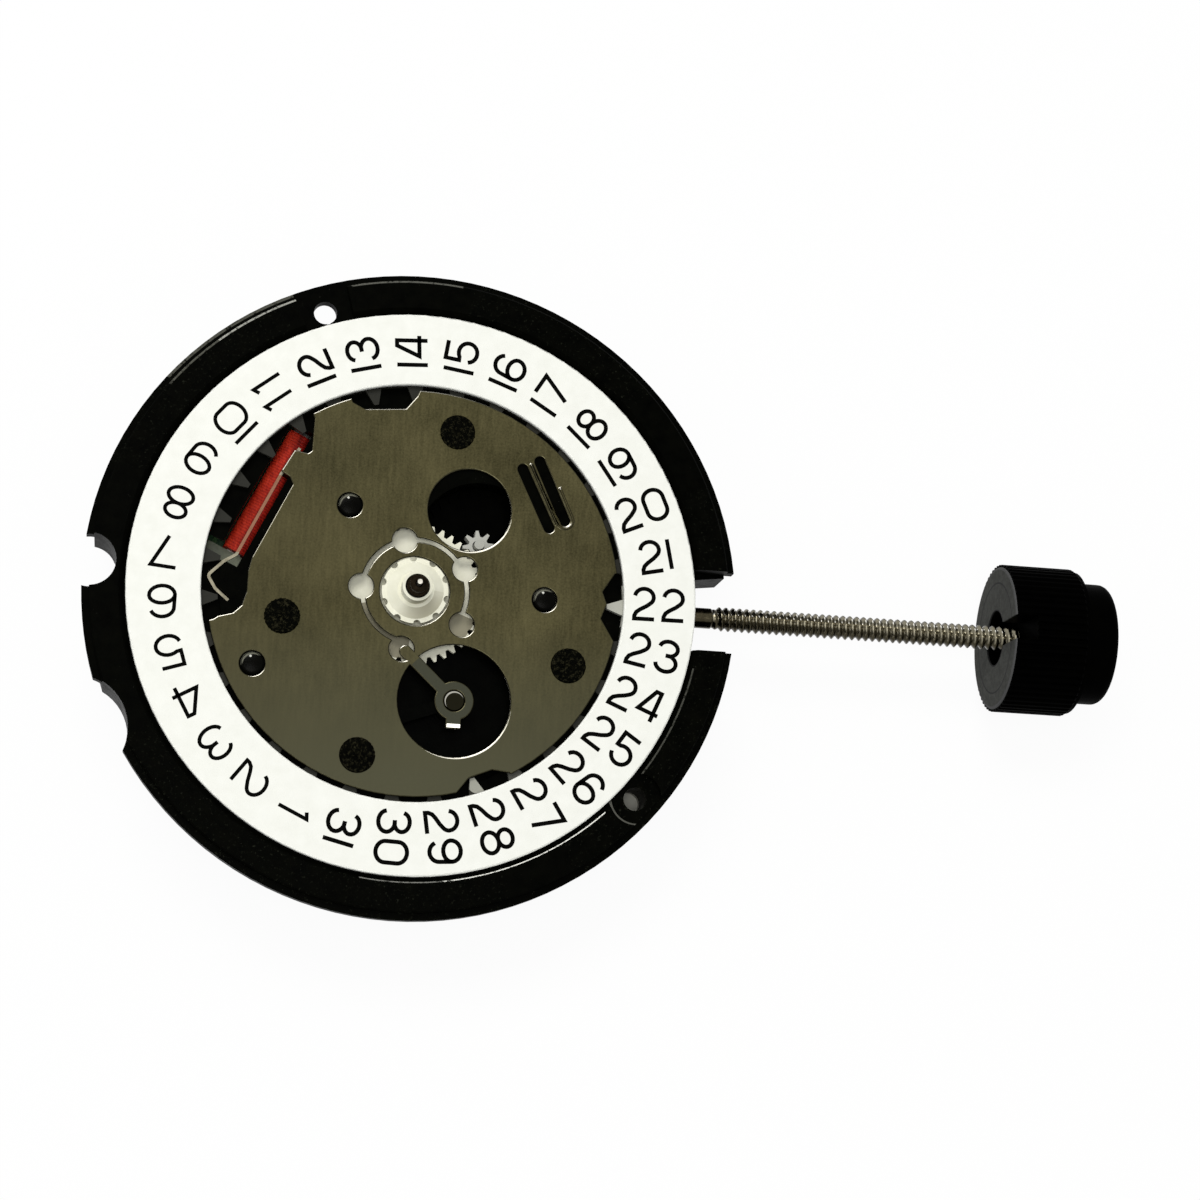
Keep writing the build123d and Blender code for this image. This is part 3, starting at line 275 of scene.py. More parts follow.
def shade_facing(material, direction, start, full, colour):
    """Painted light and shade: a second colour on faces that turn towards a direction, from one
    cosine to another.
    """
    tree = material.node_tree
    shade(material, remap(tree, facing(tree, direction), start, full), colour)


# Kinds of material

def mottled(tree, at, dark, light):
    """Slow noise, and the colour between two tones that it gives."""
    mottle = noise(tree, at, scale=1.7, detail=4, roughness=0.6)
    return mottle, blend_colours(tree, remap(tree, mottle, 0.3, 0.7), dark, light)


def dust_specks(tree, at):
    """Small round specks, gathered in some places."""
    specks = remap(tree, voronoi(tree, at, 5.5), 0.05, 0.025)
    gathered = remap(tree, noise(tree, at, scale=0.55, detail=2), 0.5, 0.64)
    return all_of(tree, specks, gathered)


def moulded_plastic(name, dark, light, roughness, specular, speckle=0.0, grain=26.0):
    """Moulded plastic: mottled tone, fine orange-peel surface and a little dust."""
    material, tree, shader = principled(name, roughness=roughness, specular=specular)
    at = position(tree)
    mottle, colour = mottled(tree, at, dark, light)
    if speckle:
        dust = calc(tree, "MULTIPLY", dust_specks(tree, at), speckle)
        colour = blend_colours(tree, dust, colour, (0.12, 0.12, 0.10))
    link_colour(tree, shader, colour)
    spread = calc(tree, "ADD", roughness - 0.08, calc(tree, "MULTIPLY", mottle, 0.16))
    link_roughness(tree, shader, spread)
    fine = noise(tree, at, scale=grain, detail=3, roughness=0.6)
    bump(tree, shader, fine, strength=0.35, depth=0.012)
    return material


# Painted highlights along the rim: radii, directions in degrees, heights and tone
top_edge, top_levels = (12.71, 12.83), (-0.09, 0.1)
flange_edge, flange_levels = (12.98, 13.2), (-0.5, -0.3)
recess_wall, wider_wall, recess_levels = (11.60, 11.645), (11.60, 11.66), (-0.25, 0.01)
rim_lights = (
    (top_edge, (112.0, 131.0), top_levels, (0.34, 0.34, 0.30)),
    (top_edge, (131.0, 143.0), top_levels, (0.08, 0.08, 0.065)),
    (flange_edge, (115.0, 142.0), flange_levels, (0.08, 0.08, 0.065)),
    (top_edge, (84.0, 104.5), top_levels, (0.10, 0.10, 0.085)),
    (recess_wall, (-82.0, -46.5), recess_levels, (0.85, 0.85, 0.78)),
    (recess_wall, (-98.0, -82.0), recess_levels, (0.20, 0.20, 0.18)),
    (wider_wall, (-38.0, -12.0), recess_levels, (0.06, 0.06, 0.05)),
)
scratched_arcs = ((6.0, 24.0), (44.0, 82.0), (-58.0, -8.0), (118.0, 160.0), (-150.0, -70.0))
stake_margin = 0.02
stake_roughness = 8.0


def staked_body(name):
    """Black body, scratched along the rim and with painted highlights on the rim's edges, whose
    heat-formed stake heads are rough and flecked.
    """
    material, tree, shader = principled(name, roughness=0.34, specular=0.007)
    at = position(tree)
    mottle, colour = mottled(tree, at, (0.0002, 0.0003, 0.0001), (0.0014, 0.0015, 0.0008))
    colour = blend_colours(tree, dust_specks(tree, at), colour, (0.10, 0.10, 0.08))
    on_stake = 0.0
    for place in stake_places:
        on_stake = calc(
            tree, "MAXIMUM", on_stake, within(tree, place, stake_head_radius + stake_margin))
    flecks = remap(tree, noise(tree, at, scale=9.0, detail=5, roughness=0.75), 0.52, 0.68)
    colour = blend_colours(tree, all_of(tree, on_stake, flecks), colour, (0.026, 0.024, 0.012))
    wear_and_highlight_noise = remap(tree, noise(tree, at, scale=5.0, detail=4, roughness=0.7), 0.36, 0.6)
    # Painted highlights along the rim's edges, broken up by noise
    for radii, arc, levels, tone in rim_lights:
        zone = arc_zone(tree, radii, arc, levels)
        colour = blend_colours(
            tree, all_of(tree, zone, remap(tree, wear_and_highlight_noise, 0.0, 0.5)), colour, tone)
    scratches = remap(tree, noise(tree, at, scale=7.0, detail=6, roughness=0.8), 0.58, 0.7)
    for arc in scratched_arcs:
        zone = arc_zone(tree, rim_radii, arc, body_levels)
        colour = blend_colours(tree, all_of(tree, zone, scratches), colour, (0.022, 0.024, 0.016))
    link_colour(tree, shader, colour)
    link_roughness(tree, shader, remap(tree, mottle, 0.2, 0.8, 0.26, 0.42))
    fine = noise(tree, at, scale=26.0, detail=3, roughness=0.6)
    coarse = noise(tree, at, scale=8.0, detail=4, roughness=0.7)
    coarse = all_of(tree, calc(tree, "MULTIPLY", coarse, stake_roughness), on_stake)
    bump(tree, shader, calc(tree, "ADD", fine, coarse), strength=0.4, depth=0.012)
    return material


def grained_metal(name, dark, light, roughness, scale):
    """Metal with a fine straight grain along one axis and slow changes of tone."""
    material, tree, shader = principled(name, metallic=1.0, roughness=roughness)
    lines = noise(tree, position(tree, scale), scale=1.0, detail=5, roughness=0.65)
    weave = noise(tree, position(tree), scale=12.0, detail=4, roughness=0.75)
    cloud = noise(tree, position(tree), scale=0.3, detail=3, roughness=0.5)
    tone = weighted_sum(tree, (lines, 0.25), (weave, 0.4), (cloud, 0.35))
    link_colour(tree, shader, blend_colours(tree, remap(tree, tone, 0.35, 0.65), dark, light))
    spread = remap(tree, weave, 0.3, 0.7, roughness - 0.05, roughness + 0.05)
    link_roughness(tree, shader, spread)
    bump(tree, shader, calc(tree, "ADD", lines, weave), strength=0.15, depth=0.004)
    return material


def turned_metal(name, dark, light, roughness):
    """Turned or stamped metal with faint random wear."""
    material, tree, shader = principled(name, metallic=1.0, roughness=roughness)
    at = position(tree)
    wear_and_highlight_noise = noise(tree, at, scale=3.2, detail=5, roughness=0.65)
    link_colour(tree, shader, blend_colours(tree, remap(tree, wear_and_highlight_noise, 0.3, 0.7), dark, light))
    link_roughness(tree, shader, remap(tree, wear_and_highlight_noise, 0.3, 0.7, roughness - 0.06, roughness + 0.1))
    fine = noise(tree, at, scale=30, detail=3, roughness=0.6)
    bump(tree, shader, fine, strength=0.12, depth=0.004)
    return material


def lacquered(name, dark, light, roughness, coat):
    """Lacquer, resin or stone with an even, slightly wavy gloss."""
    material, tree, shader = principled(name, roughness=roughness, coat=coat)
    at = position(tree)
    tone = noise(tree, at, scale=2.4, detail=4, roughness=0.6)
    link_colour(tree, shader, blend_colours(tree, remap(tree, tone, 0.3, 0.7), dark, light))
    link_roughness(tree, shader, remap(tree, tone, 0.3, 0.7, roughness - 0.08, roughness + 0.08))
    fine = noise(tree, at, scale=20, detail=3, roughness=0.6)
    bump(tree, shader, fine, strength=0.2, depth=0.006)
    return material


# Across the coil, where the painted shade beyond the jumper's wire starts and is full
coil_shade_start, coil_shade_full = 7.13, 7.03


def winding_red(name):
    """Lacquered wire laid in fine turns across the coil, with painted shade beyond the jumper's
    wire.
    """
    material, tree, shader = principled(name, roughness=0.36, specular=0.06)
    along_coil = position(tree, (1, 1, 1), (0, 0, -coil_angle))
    turns = tree.nodes.new("ShaderNodeTexWave")
    tree.links.new(along_coil, turns.inputs["Vector"])
    turns.bands_direction = "X"
    turns.inputs["Scale"].default_value = 2.6
    turns.inputs["Distortion"].default_value = 3.0
    turns.inputs["Detail"].default_value = 3.0
    turns.inputs["Detail Scale"].default_value = 2.0
    stretched = position(tree, (5.5, 2.2, 2.2), (0, 0, -coil_angle))
    patches = noise(tree, stretched, scale=1.0, detail=5, roughness=0.75)
    tone = weighted_sum(tree, (turns.outputs["Fac"], 0.15), (patches, 0.85))
    contrast = remap(tree, tone, 0.3, 0.7)
    lit = blend_colours(tree, contrast, (0.34, 0.010, 0.006), (0.80, 0.055, 0.024))
    shaded = blend_colours(tree, contrast, (0.10, 0.004, 0.003), (0.48, 0.022, 0.012))
    across = tree.nodes.new("ShaderNodeSeparateXYZ")
    tree.links.new(along_coil, across.inputs["Vector"])
    inner_side = remap(tree, across.outputs["Y"], coil_shade_start, coil_shade_full)
    link_colour(tree, shader, blend_colours(tree, inner_side, lit, shaded))
    bump(tree, shader, tone, strength=0.7, depth=0.05)
    return material


pad_height = 1.6


def traced_board(name):
    """Green board with raised copper tracks under the lacquer and tinned pads."""
    material, tree, shader = principled(name, roughness=0.35, specular=0.3, coat=0.2)
    at = position(tree, turn=(0, 0, -coil_angle))
    tracks = tree.nodes.new("ShaderNodeTexBrick")
    tree.links.new(at, tracks.inputs["Vector"])
    for socket, value in (("Scale", 1.0), ("Mortar Size", 0.09), ("Mortar Smooth", 0.1),
                          ("Brick Width", 1.9), ("Row Height", 0.62)):
        tracks.inputs[socket].default_value = value
    on_track = tracks.outputs["Fac"]
    tone = remap(tree, noise(tree, at, scale=2.4, detail=4, roughness=0.6), 0.3, 0.7)
    mask = blend_colours(tree, tone, (0.010, 0.050, 0.014), (0.022, 0.085, 0.028))
    copper = blend_colours(tree, on_track, mask, (0.055, 0.15, 0.045))
    pads = remap(tree, voronoi(tree, at, 0.62, randomness=0.7), 0.20, 0.17)
    link_colour(tree, shader, blend_colours(tree, pads, copper, (0.50, 0.49, 0.45)))
    tree.links.new(pads, shader.inputs["Metallic"])
    raised = weighted_sum(tree, (on_track, 1.0), (pads, pad_height))
    bump(tree, shader, raised, strength=0.5, depth=0.03)
    return material


# Materials

black_body = staked_body("body_black")
pin_black = moulded_plastic(
    "pin_black", (0.0010, 0.0010, 0.0007), (0.0024, 0.0023, 0.0016), 0.2, 0.02)
black_glossy = moulded_plastic(
    "wheel_black", (0.0004, 0.0005, 0.0003), (0.0010, 0.0011, 0.0007), 0.24, 0.01,
    speckle=0.5, grain=14)
motion_black = moulded_plastic(
    "minute_black", (0.0003, 0.0003, 0.0002), (0.0007, 0.0007, 0.0005), 0.24, 0.006,
    speckle=0.3, grain=14)
black_crown = moulded_plastic(
    "crown_black", (0.0002, 0.0002, 0.0002), (0.0005, 0.0005, 0.0004), 0.42, 0.003, grain=18)
disc_specular, teeth_specular = 0.3, 0.08
disc_white = moulded_plastic(
    "disc_white", (0.83, 0.835, 0.775), (0.88, 0.885, 0.83), 0.42, disc_specular)
hub_white = moulded_plastic("hub_white", (0.76, 0.75, 0.60), (0.84, 0.83, 0.69), 0.45, 0.3)
wheel_grey = moulded_plastic("wheel_grey", (0.33, 0.32, 0.27), (0.42, 0.41, 0.35), 0.5, 0.2)
plain_grey = moulded_plastic("plain_grey", (0.10, 0.10, 0.095), (0.14, 0.14, 0.13), 0.5, 0.2)
ink_black = moulded_plastic(
    "ink_black", (0.0010, 0.0010, 0.0008), (0.0024, 0.0024, 0.0020), 0.6, 0.01)
plate_metal = grained_metal(
    "plate_metal", (0.017, 0.0155, 0.007), (0.062, 0.055, 0.026), 0.46, (7.0, 0.9, 1.0))
bridge_metal = grained_metal(
    "bridge_metal", (0.30, 0.29, 0.26), (0.42, 0.40, 0.36), 0.38, (0.4, 9.0, 1.0))
stem_metal = turned_metal("stem_metal", (0.030, 0.026, 0.015), (0.060, 0.052, 0.032), 0.20)
dark_metal = turned_metal("dark_metal", (0.004, 0.003, 0.002), (0.014, 0.010, 0.006), 0.22)
wire_metal = turned_metal("wire_metal", (0.11, 0.10, 0.070), (0.20, 0.185, 0.14), 0.34)
edge_metal = turned_metal("edge_metal", (0.028, 0.026, 0.014), (0.050, 0.046, 0.026), 0.2)
spring_metal = turned_metal("spring_metal", (0.40, 0.39, 0.35), (0.56, 0.55, 0.50), 0.36)
iron_grey = turned_metal("iron_grey", (0.16, 0.16, 0.155), (0.24, 0.24, 0.23), 0.52)
gilt_metal = turned_metal("gilt_metal", (0.48, 0.33, 0.12), (0.64, 0.46, 0.19), 0.3)
nickel_metal = turned_metal("nickel_metal", (0.40, 0.38, 0.33), (0.55, 0.53, 0.47), 0.28)
magnet_dark = turned_metal("magnet_dark", (0.06, 0.06, 0.062), (0.11, 0.11, 0.112), 0.4)
terminal_green = lacquered(
    "terminal_green", (0.060, 0.075, 0.034), (0.12, 0.135, 0.072), 0.4, 0.0)
resin_black = lacquered("resin_black", (0.006, 0.006, 0.006), (0.012, 0.012, 0.012), 0.25, 0.3)
jewel_red = lacquered("jewel_red", (0.28, 0.01, 0.03), (0.42, 0.02, 0.06), 0.12, 0.4)
coil_red = winding_red("winding_red")
board_tracks = traced_board("board_tracks")


# Tones on single parts of the pieces, most of them painted highlights and painted shade

# Disc: place, reach and tone of the painted highlights on teeth that catch light
lit_teeth = (
    ((8.1, 0.0), 0.9, (0.42, 0.42, 0.37)),
    ((2.87, -7.55), 0.38, (0.34, 0.34, 0.2924)),
    ((4.2, -7.15), 0.45, (0.07, 0.07, 0.0602)),
)
# Crown's face: inner and outer radius round the stem, and tone of rings; the outer ring is a
# painted highlight
face_rings = ((2.86, 3.2, 0.080), (2.27, 2.34, 0.030), (0.9, 1.2, 0.022))
# Hub of the hour wheel: radii, height and directions of the painted shade where the plate shades it
hub_radii, hub_levels, hub_shadows = (1.55, 2.7), (-3.0, -0.2), ((-166, -92), (-46, -20))
# Painted highlights on stem and pins: direction, cosines at the start and in full, and tone
stem_lights = (
    ((-0.75, 0.1, 0.65), 0.72, 0.9, (0.24, 0.22, 0.16)),
    ((-0.35, 0.50, 0.80), 0.955, 0.985, (0.95, 0.93, 0.86)),
)
pin_lights = (
    ((-0.5, 0.86, 0.0), 0.14, 0.22, (0.13, 0.13, 0.10)),
    ((-0.042, 0.133, 0.99), 0.99962, 0.99982, (0.62, 0.62, 0.56)),
)
# Direction of the painted highlights on the date plate's rounded edges
light_side = (-0.34, 0.66, 0.66)
# Wire of the jumper over the coil, in X and in Y
jumper_over_coil = ((-7.2, -5.3), (1.15, 4.4))
# Date plate: where its changes of tone start and end (darker towards the bottom, painted shade
# towards the left), its arm and the arm's bent tail, which gets a painted highlight
fade_to_bottom, fade_to_left, left_share = (-1.0, -7.5), (0.0, -8.0), 0.35
arm_edge_radius, arm_radius = 2.1, 2.2
tail_half_width, tail_start, tail_end = 0.31, 0.93, 1.2
# Body: the posts in the minute pinion and in the arm's ring, and the lower dial foot, with painted
# light in the foot's hole and painted highlights on its edge and on the arm's post
pinion_post_radius, pinion_post_levels = 0.26, (-1.3, 0.1)
arm_post_radius, arm_post_floor = 0.385, -0.2
post_light_radius, post_light_shift = 0.37, (0.03, -0.05)
foot_hole_radius, foot_hole_levels = 0.47, (-2.3, -1.9)
foot_light_radius, foot_light_shift, foot_edge_radius = 1.03, (0.07, 0.05), 1.06
foot_edge_levels = (-0.34, 0.1)


def shade_disc():
    """The disc's teeth lie in the dark under the plate, as painted shade, and catch light only
    towards the crown, as painted highlights.
    """
    tree = disc_white.node_tree
    # Painted shade on the teeth under the plate
    on_teeth = calc(tree, "LESS_THAN", part_of(tree, "Z"), teeth_top)
    shade(disc_white, on_teeth, (0.018, 0.018, 0.014))
    gloss = remap(tree, on_teeth, 0.0, 1.0, disc_specular, teeth_specular)
    tree.links.new(gloss, shader_of(disc_white).inputs["Specular IOR Level"])
    # Painted highlights on teeth that catch light
    for place, reach, tone in lit_teeth:
        shade(disc_white, all_of(tree, on_teeth, within(tree, place, reach)), tone)


def shade_minute_wheel():
    """The pinion above the black minute wheel is pale."""
    tree = motion_black.node_tree
    on_pinion = calc(tree, "GREATER_THAN", part_of(tree, "Z"), pinion_floor)
    shade(motion_black, on_pinion, (0.46, 0.46, 0.42))


def shade_crown():
    """The crown's face is painted greyer than its grip, as painted light from the side, with a
    mottle, a painted highlight ring at its rim and darker rings round the stem.
    """
    tree = black_crown.node_tree
    on_face = calc(tree, "LESS_THAN", part_of(tree, "X"), crown_face_x)
    from_stem = length_of(tree, position(tree, (0, 1, 1), shift=(0, 0, -stem_z)))
    mottle = noise(tree, position(tree), scale=5.0, detail=5, roughness=0.75)
    mottle = remap(tree, mottle, 0.42, 0.62)
    # Painted light: the face greyer than the grip
    shade(black_crown, on_face, (0.046, 0.047, 0.043))
    shade(black_crown, all_of(tree, on_face, mottle), (0.068, 0.069, 0.064))
    # Rings round the stem; the outer one is a painted highlight
    for inner, outer, tone in face_rings:
        ring = between(tree, from_stem, inner, outer)
        shade(black_crown, all_of(tree, on_face, ring), (tone, tone, tone))


def shade_lit_edges():
    """Painted highlights on rolled edges and small turned faces, where they face the light."""
    tree = edge_metal.node_tree
    towards_light = remap(tree, facing(tree, light_side), 0.78, 0.93)
    off_the_arm = beyond(tree, date_wheel, arm_edge_radius)
    shade(edge_metal, all_of(tree, off_the_arm, towards_light), (0.80, 0.78, 0.70))
    # Painted highlights on the stem and the pins
    for light in stem_lights:
        shade_facing(stem_metal, *light)
    for light in pin_lights:
        shade_facing(pin_black, *light)


def shade_jumper():
    """The jumper's wire is darker and redder where it lies over the coil."""
    tree = wire_metal.node_tree
    along_x, along_y = jumper_over_coil
    over_coil = all_of(tree, slab_of(tree, "X", *along_x), slab_of(tree, "Y", *along_y))
    shade(wire_metal, over_coil, (0.140, 0.070, 0.044))


def shade_hub():
    """Painted shade on the hour wheel, under the plate's slots and on the side away from the light.
    """
    tree = hub_white.node_tree
    # Painted shade under the plate's slots
    for arc in hub_shadows:
        shade(hub_white, arc_zone(tree, hub_radii, arc, hub_levels), (0.27, 0.25, 0.17))
    # Painted shade on the side away from the light
    shade_facing(hub_white, (0.45, -0.75, 0.2), 0.35, 0.85, (0.40, 0.37, 0.25))


def shade_plate():
    """Date plate: darker towards the bottom, painted shade towards the left, darker arm, painted
    highlights on the walls of two holes and on the bent tail.
    """
    tree = plate_metal.node_tree
    towards_bottom = remap(tree, part_of(tree, "Y"), *fade_to_bottom)
    shade(plate_metal, towards_bottom, (0.042, 0.041, 0.025))
    # Painted shade towards the left
    towards_left = remap(tree, part_of(tree, "X"), *fade_to_left, 0.0, left_share)
    shade(plate_metal, towards_left, (0.022, 0.020, 0.011))
    shade(plate_metal, within(tree, lower_hole, arm_radius), (0.029, 0.030, 0.021))
    # Painted highlights on the walls of two holes
    shade(plate_metal, crescent(tree, upper_hole, upper_hole_radius), (0.60, 0.58, 0.50))
    shade(plate_metal, crescent(tree, lower_hole, lower_hole_radius), (0.60, 0.58, 0.50))
    # Painted highlight on the bent tail
    x, y = date_wheel
    on_tail = all_of(tree, slab_of(tree, "X", x - tail_half_width, x + tail_half_width),
                     slab_of(tree, "Y", y - tail_end, y - tail_start))
    shade(plate_metal, on_tail, (0.90, 0.88, 0.80))


def shade_body():
    """Posts of the body in the minute pinion and in the arm's ring, and the lower dial foot;
    painted light in the foot's hole, painted highlights on the foot's edge and on the arm's post.
    """
    tree = black_body.node_tree
    pinion_post = all_of(tree, within(tree, minute_wheel, pinion_post_radius),
                         slab_of(tree, "Z", *pinion_post_levels))
    shade(black_body, pinion_post, (0.40, 0.40, 0.36))
    arm_post = all_of(tree, within(tree, date_wheel, arm_post_radius),
                      calc(tree, "GREATER_THAN", part_of(tree, "Z"), arm_post_floor))
    shade(black_body, arm_post, (0.012, 0.011, 0.006))
    # Painted light on the floor of the lower dial foot's hole
    foot_hole = all_of(tree, within(tree, lower_foot, foot_hole_radius),
                       slab_of(tree, "Z", *foot_hole_levels))
    shade(black_body, foot_hole, (0.42, 0.42, 0.38))
    # Painted highlight on the edge of the foot's recess
    foot_edge = all_of(
        tree, beyond(tree, moved(lower_foot, foot_light_shift), foot_light_radius),
        within(tree, lower_foot, foot_edge_radius), slab_of(tree, "Z", *foot_edge_levels))
    shade(black_body, foot_edge, (0.10, 0.10, 0.085))
    # Painted highlight on the arm's post
    post_light = all_of(
        tree, arm_post, beyond(tree, moved(date_wheel, post_light_shift), post_light_radius))
    shade(black_body, post_light, (0.40, 0.39, 0.34))


shade_disc()
shade_minute_wheel()
shade_crown()
shade_lit_edges()
shade_jumper()
shade_hub()
shade_plate()
shade_body()


# Finish of the carried-over nodes

finish = {
    "main_plate": black_body, "date_plate": plate_metal, "date_disc": disc_white,
    "date_jumper": wire_metal, "hour_wheel": hub_white, "cannon_pinion": dark_metal,
    "centre_wheel": gilt_metal, "minute_wheel": motion_black, "date_wheel": black_glossy,
    "seconds_wheel": nickel_metal, "third_wheel": nickel_metal, "fifth_wheel": nickel_metal,
    "rotor": magnet_dark, "stator": iron_grey, "coil_core": iron_grey, "coil_winding": coil_red,
    "coil_terminal": terminal_green, "circuit_board": board_tracks, "quartz_can": spring_metal,
    "control_chip": resin_black, "train_bridge": bridge_metal, "seconds_bearing": jewel_red,
    "bridge_screws": nickel_metal, "battery": spring_metal, "battery_insulator": plain_grey,
    "minus_contact": gilt_metal, "battery_clamp": bridge_metal, "clamp_screw": nickel_metal,
    "setting_stem": stem_metal, "sliding_pinion": nickel_metal, "crown": black_crown,
    "setting_lever": spring_metal, "yoke": spring_metal, "setting_cover": bridge_metal,
    "cover_screws": nickel_metal, "setting_wheel": wheel_grey, "corrector_wheel": hub_white,
}
for name, node in nodes.items():
    node.data.materials.clear()
    node.data.materials.append(finish.get(name, plain_grey))

weld_reach = 0.0005
flat_angle = 0.6
sharp_angle = 32
edge_rounding = 0.045


def round_edges(name, width, edge_material):
    """Small rounding of a node's sharp edges, in a material of its own."""
    node = nodes[name]
    weld = node.modifiers.new("weld", "WELD")
    weld.merge_threshold = weld_reach * MM
    flat = node.modifiers.new("flat", "DECIMATE")
    flat.decimate_type = "DISSOLVE"
    flat.angle_limit = math.radians(flat_angle)
    edge = node.modifiers.new("edge", "BEVEL")
    edge.width = width * MM
    edge.segments = 3
    edge.limit_method = "ANGLE"
    edge.angle_limit = math.radians(sharp_angle)
    edge.use_clamp_overlap = False
    node.data.materials.append(edge_material)
    edge.material = 1


round_edges("date_plate", edge_rounding, edge_metal)


# Mesh helpers

def add_piece(name, points, faces, material, body, smooth=None):
    """Mesh piece from points in millimetres, riding on a body."""
    mesh = bpy.data.meshes.new(name)
    mesh.from_pydata([[c * MM for c in p] for p in points], [], faces)
    mesh.validate()
    mesh.materials.append(material)
    piece = bpy.data.objects.new(name, mesh)
    bpy.context.scene.collection.objects.link(piece)
    if smooth is not None:
        mesh.shade_smooth()
        mesh.set_sharp_from_angle(angle=math.radians(smooth))
    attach(piece, body)
    return piece


def circle(around):
    """Angles of evenly spaced points on a full turn."""
    return [2 * math.pi * k / around for k in range(around)]


# Domes of the pins and the rough heads of the stakes

pin_radius = 0.45
pin_top = -0.09
dome_rise = 0.05
dome_skirt = 0.035
head_middle = 0.085
head_rise = 0.088
head_roughness = 0.008
head_overhang = 0.012
head_raggedness = 0.022
head_shoulder = 0.8


def closed_dome(base, around, rings):
    """Faces of a closed dome: a fan on top, bands down the side and a fan underneath."""
    last = base + 1 + (rings - 1) * around
    bottom = last + around
    faces = []
    for k in range(around):
        n = (k + 1) % around
        faces.append((base, base + 1 + k, base + 1 + n))
        faces.append((bottom, last + n, last + k))
        for ring in range(rings - 1):
            a = base + 1 + ring * around
            faces.append((a + k, a + around + k, a + around + n, a + n))
    return faces


def pin_domes():
    """Shallow domes on the ends of the pins that stand in the plate's holes."""
    around, rings = 40, 8
    points, faces = [], []
    for cx, cy in pin_places:
        faces += closed_dome(len(points), around, rings)
        points.append((cx, cy, pin_top + dome_rise))
        for ring in range(1, rings + 1):
            share = ring / rings
            z = pin_top + dome_rise * (1 - share**2) - (dome_skirt if ring == rings else 0.0)
            for turn in circle(around):
                points.append((cx + pin_radius * share * math.cos(turn),
                               cy + pin_radius * share * math.sin(turn), z))
        points.append((cx, cy, pin_top - dome_skirt))
    return add_piece("pin_domes", points, faces, pin_black, "frame", smooth=60)


def ripple(cx, cy, k):
    """Repeatable uneven value between -1 and 1."""
    fast = math.sin(12.9898 * cx + 78.233 * cy + 37.719 * k)
    return fast * math.cos(3.7 * k + 5.1 * cx - 2.3 * cy)


def stake_heads():
    """Heat-formed heads with an uneven outline and a rough top."""
    around, rings = 56, 9
    points, faces = [], []
    for cx, cy in stake_places:
        faces += closed_dome(len(points), around, rings)
        points.append((cx, cy, plate_top + head_middle))
        for ring in range(1, rings + 1):
            part = ring / rings
            drop = 1.0 if ring < rings - 1 else head_shoulder if ring < rings else 0.0
            for k, turn in enumerate(circle(around)):
                ragged = head_raggedness * ripple(cx, cy, k) * part**3
                radius = (stake_head_radius + head_overhang) * part + ragged
                lift = head_rise + head_roughness * ripple(cy, cx, k * 3 + ring * 7)
                points.append((cx + radius * math.cos(turn), cy + radius * math.sin(turn),
                               plate_top + lift * drop))
        points.append((cx, cy, plate_top))
    return add_piece("stake_heads", points, faces, black_body, "frame", smooth=50)


pin_domes()
stake_heads()


# Numerals on the date disc

days = 31
number_pitch = 360 / days
number_22_angle = 0.6
one_digit_middle = 9.97
two_digit_middle = 9.88
last_wide_number = 11
digit_height = 1.24
wide_digit = 1.01
narrow_digit = 0.84
bold_ink = 0.168
fine_ink = 0.15
ink_rise = 0.004
layer_rise = 0.0004
digit_gap = 0.36
eleven_gap = 0.84
flag_share = 0.24
same_point = 1e-4
closing_gap = 1e-3
mitre_limit = 0.45


def bend(cx, cy, rx, ry, start, end, steps=10):
    """Points on part of an ellipse, in the digit's own unit box."""
    turn = [math.radians(start + (end - start) * i / steps) for i in range(steps + 1)]
    return [(cx + rx * math.cos(t), cy + ry * math.sin(t)) for t in turn]


def digit_lines(digit, flag):
    """Centre lines of a digit in a box one wide and one high."""
    if digit == "0":
        line = bend(0.5, 0.70, 0.5, 0.30, 180, 0, 20) + bend(0.5, 0.30, 0.5, 0.30, 0, -180, 20)
        return [line + [line[0]]]
    if digit == "1":
        stem = [(0.0, 0.0), (0.0, 1.0)]
        return [stem + [(-flag_share, 0.90)]] if flag else [stem]
    if digit == "2":
        return [bend(0.5, 0.72, 0.46, 0.28, 172, 0) + bend(0.55, 0.72, 0.41, 0.25, -8, -52, 5)
                + [(0.62, 0.43), (0.30, 0.31), (0.12, 0.22), (0.03, 0.10), (0.02, 0.0), (1.0, 0.0)]]
    if digit == "3":
        upper = bend(0.5, 0.76, 0.45, 0.24, 172, 0) + bend(0.52, 0.76, 0.43, 0.24, 0, -72, 7)
        lower = bend(0.5, 0.27, 0.5, 0.27, 72, 0, 7) + bend(0.5, 0.27, 0.5, 0.27, 0, -174)
        return [upper + [(0.42, 0.525)], [(0.42, 0.525), (0.60, 0.525)] + lower]
    if digit == "4":
        return [[(1.02, 0.27), (0.0, 0.27), (0.52, 1.0), (0.78, 1.0), (0.78, 0.0)]]
    if digit == "5":
        return [[(0.95, 1.0), (0.08, 1.0), (0.08, 0.55)]
                + bend(0.52, 0.31, 0.48, 0.30, 125, 0, 8) + bend(0.52, 0.31, 0.48, 0.31, 0, -170)]
    if digit == "6":
        return [bend(0.52, 0.70, 0.46, 0.30, 18, 180)
                + bend(0.5, 0.30, 0.5, 0.30, 180, 360)
                + bend(0.5, 0.30, 0.5, 0.26, 0, 180)]
    if digit == "7":
        return [[(0.0, 1.0), (0.98, 1.0), (0.42, 0.0)]]
    if digit == "8":
        upper = bend(0.5, 0.765, 0.42, 0.235, -90, 270, 24)
        lower = bend(0.5, 0.265, 0.5, 0.265, 90, 450, 28)
        return [upper, lower]
    return [[(1 - x, 1 - y) for x, y in line] for line in digit_lines("6", flag)]


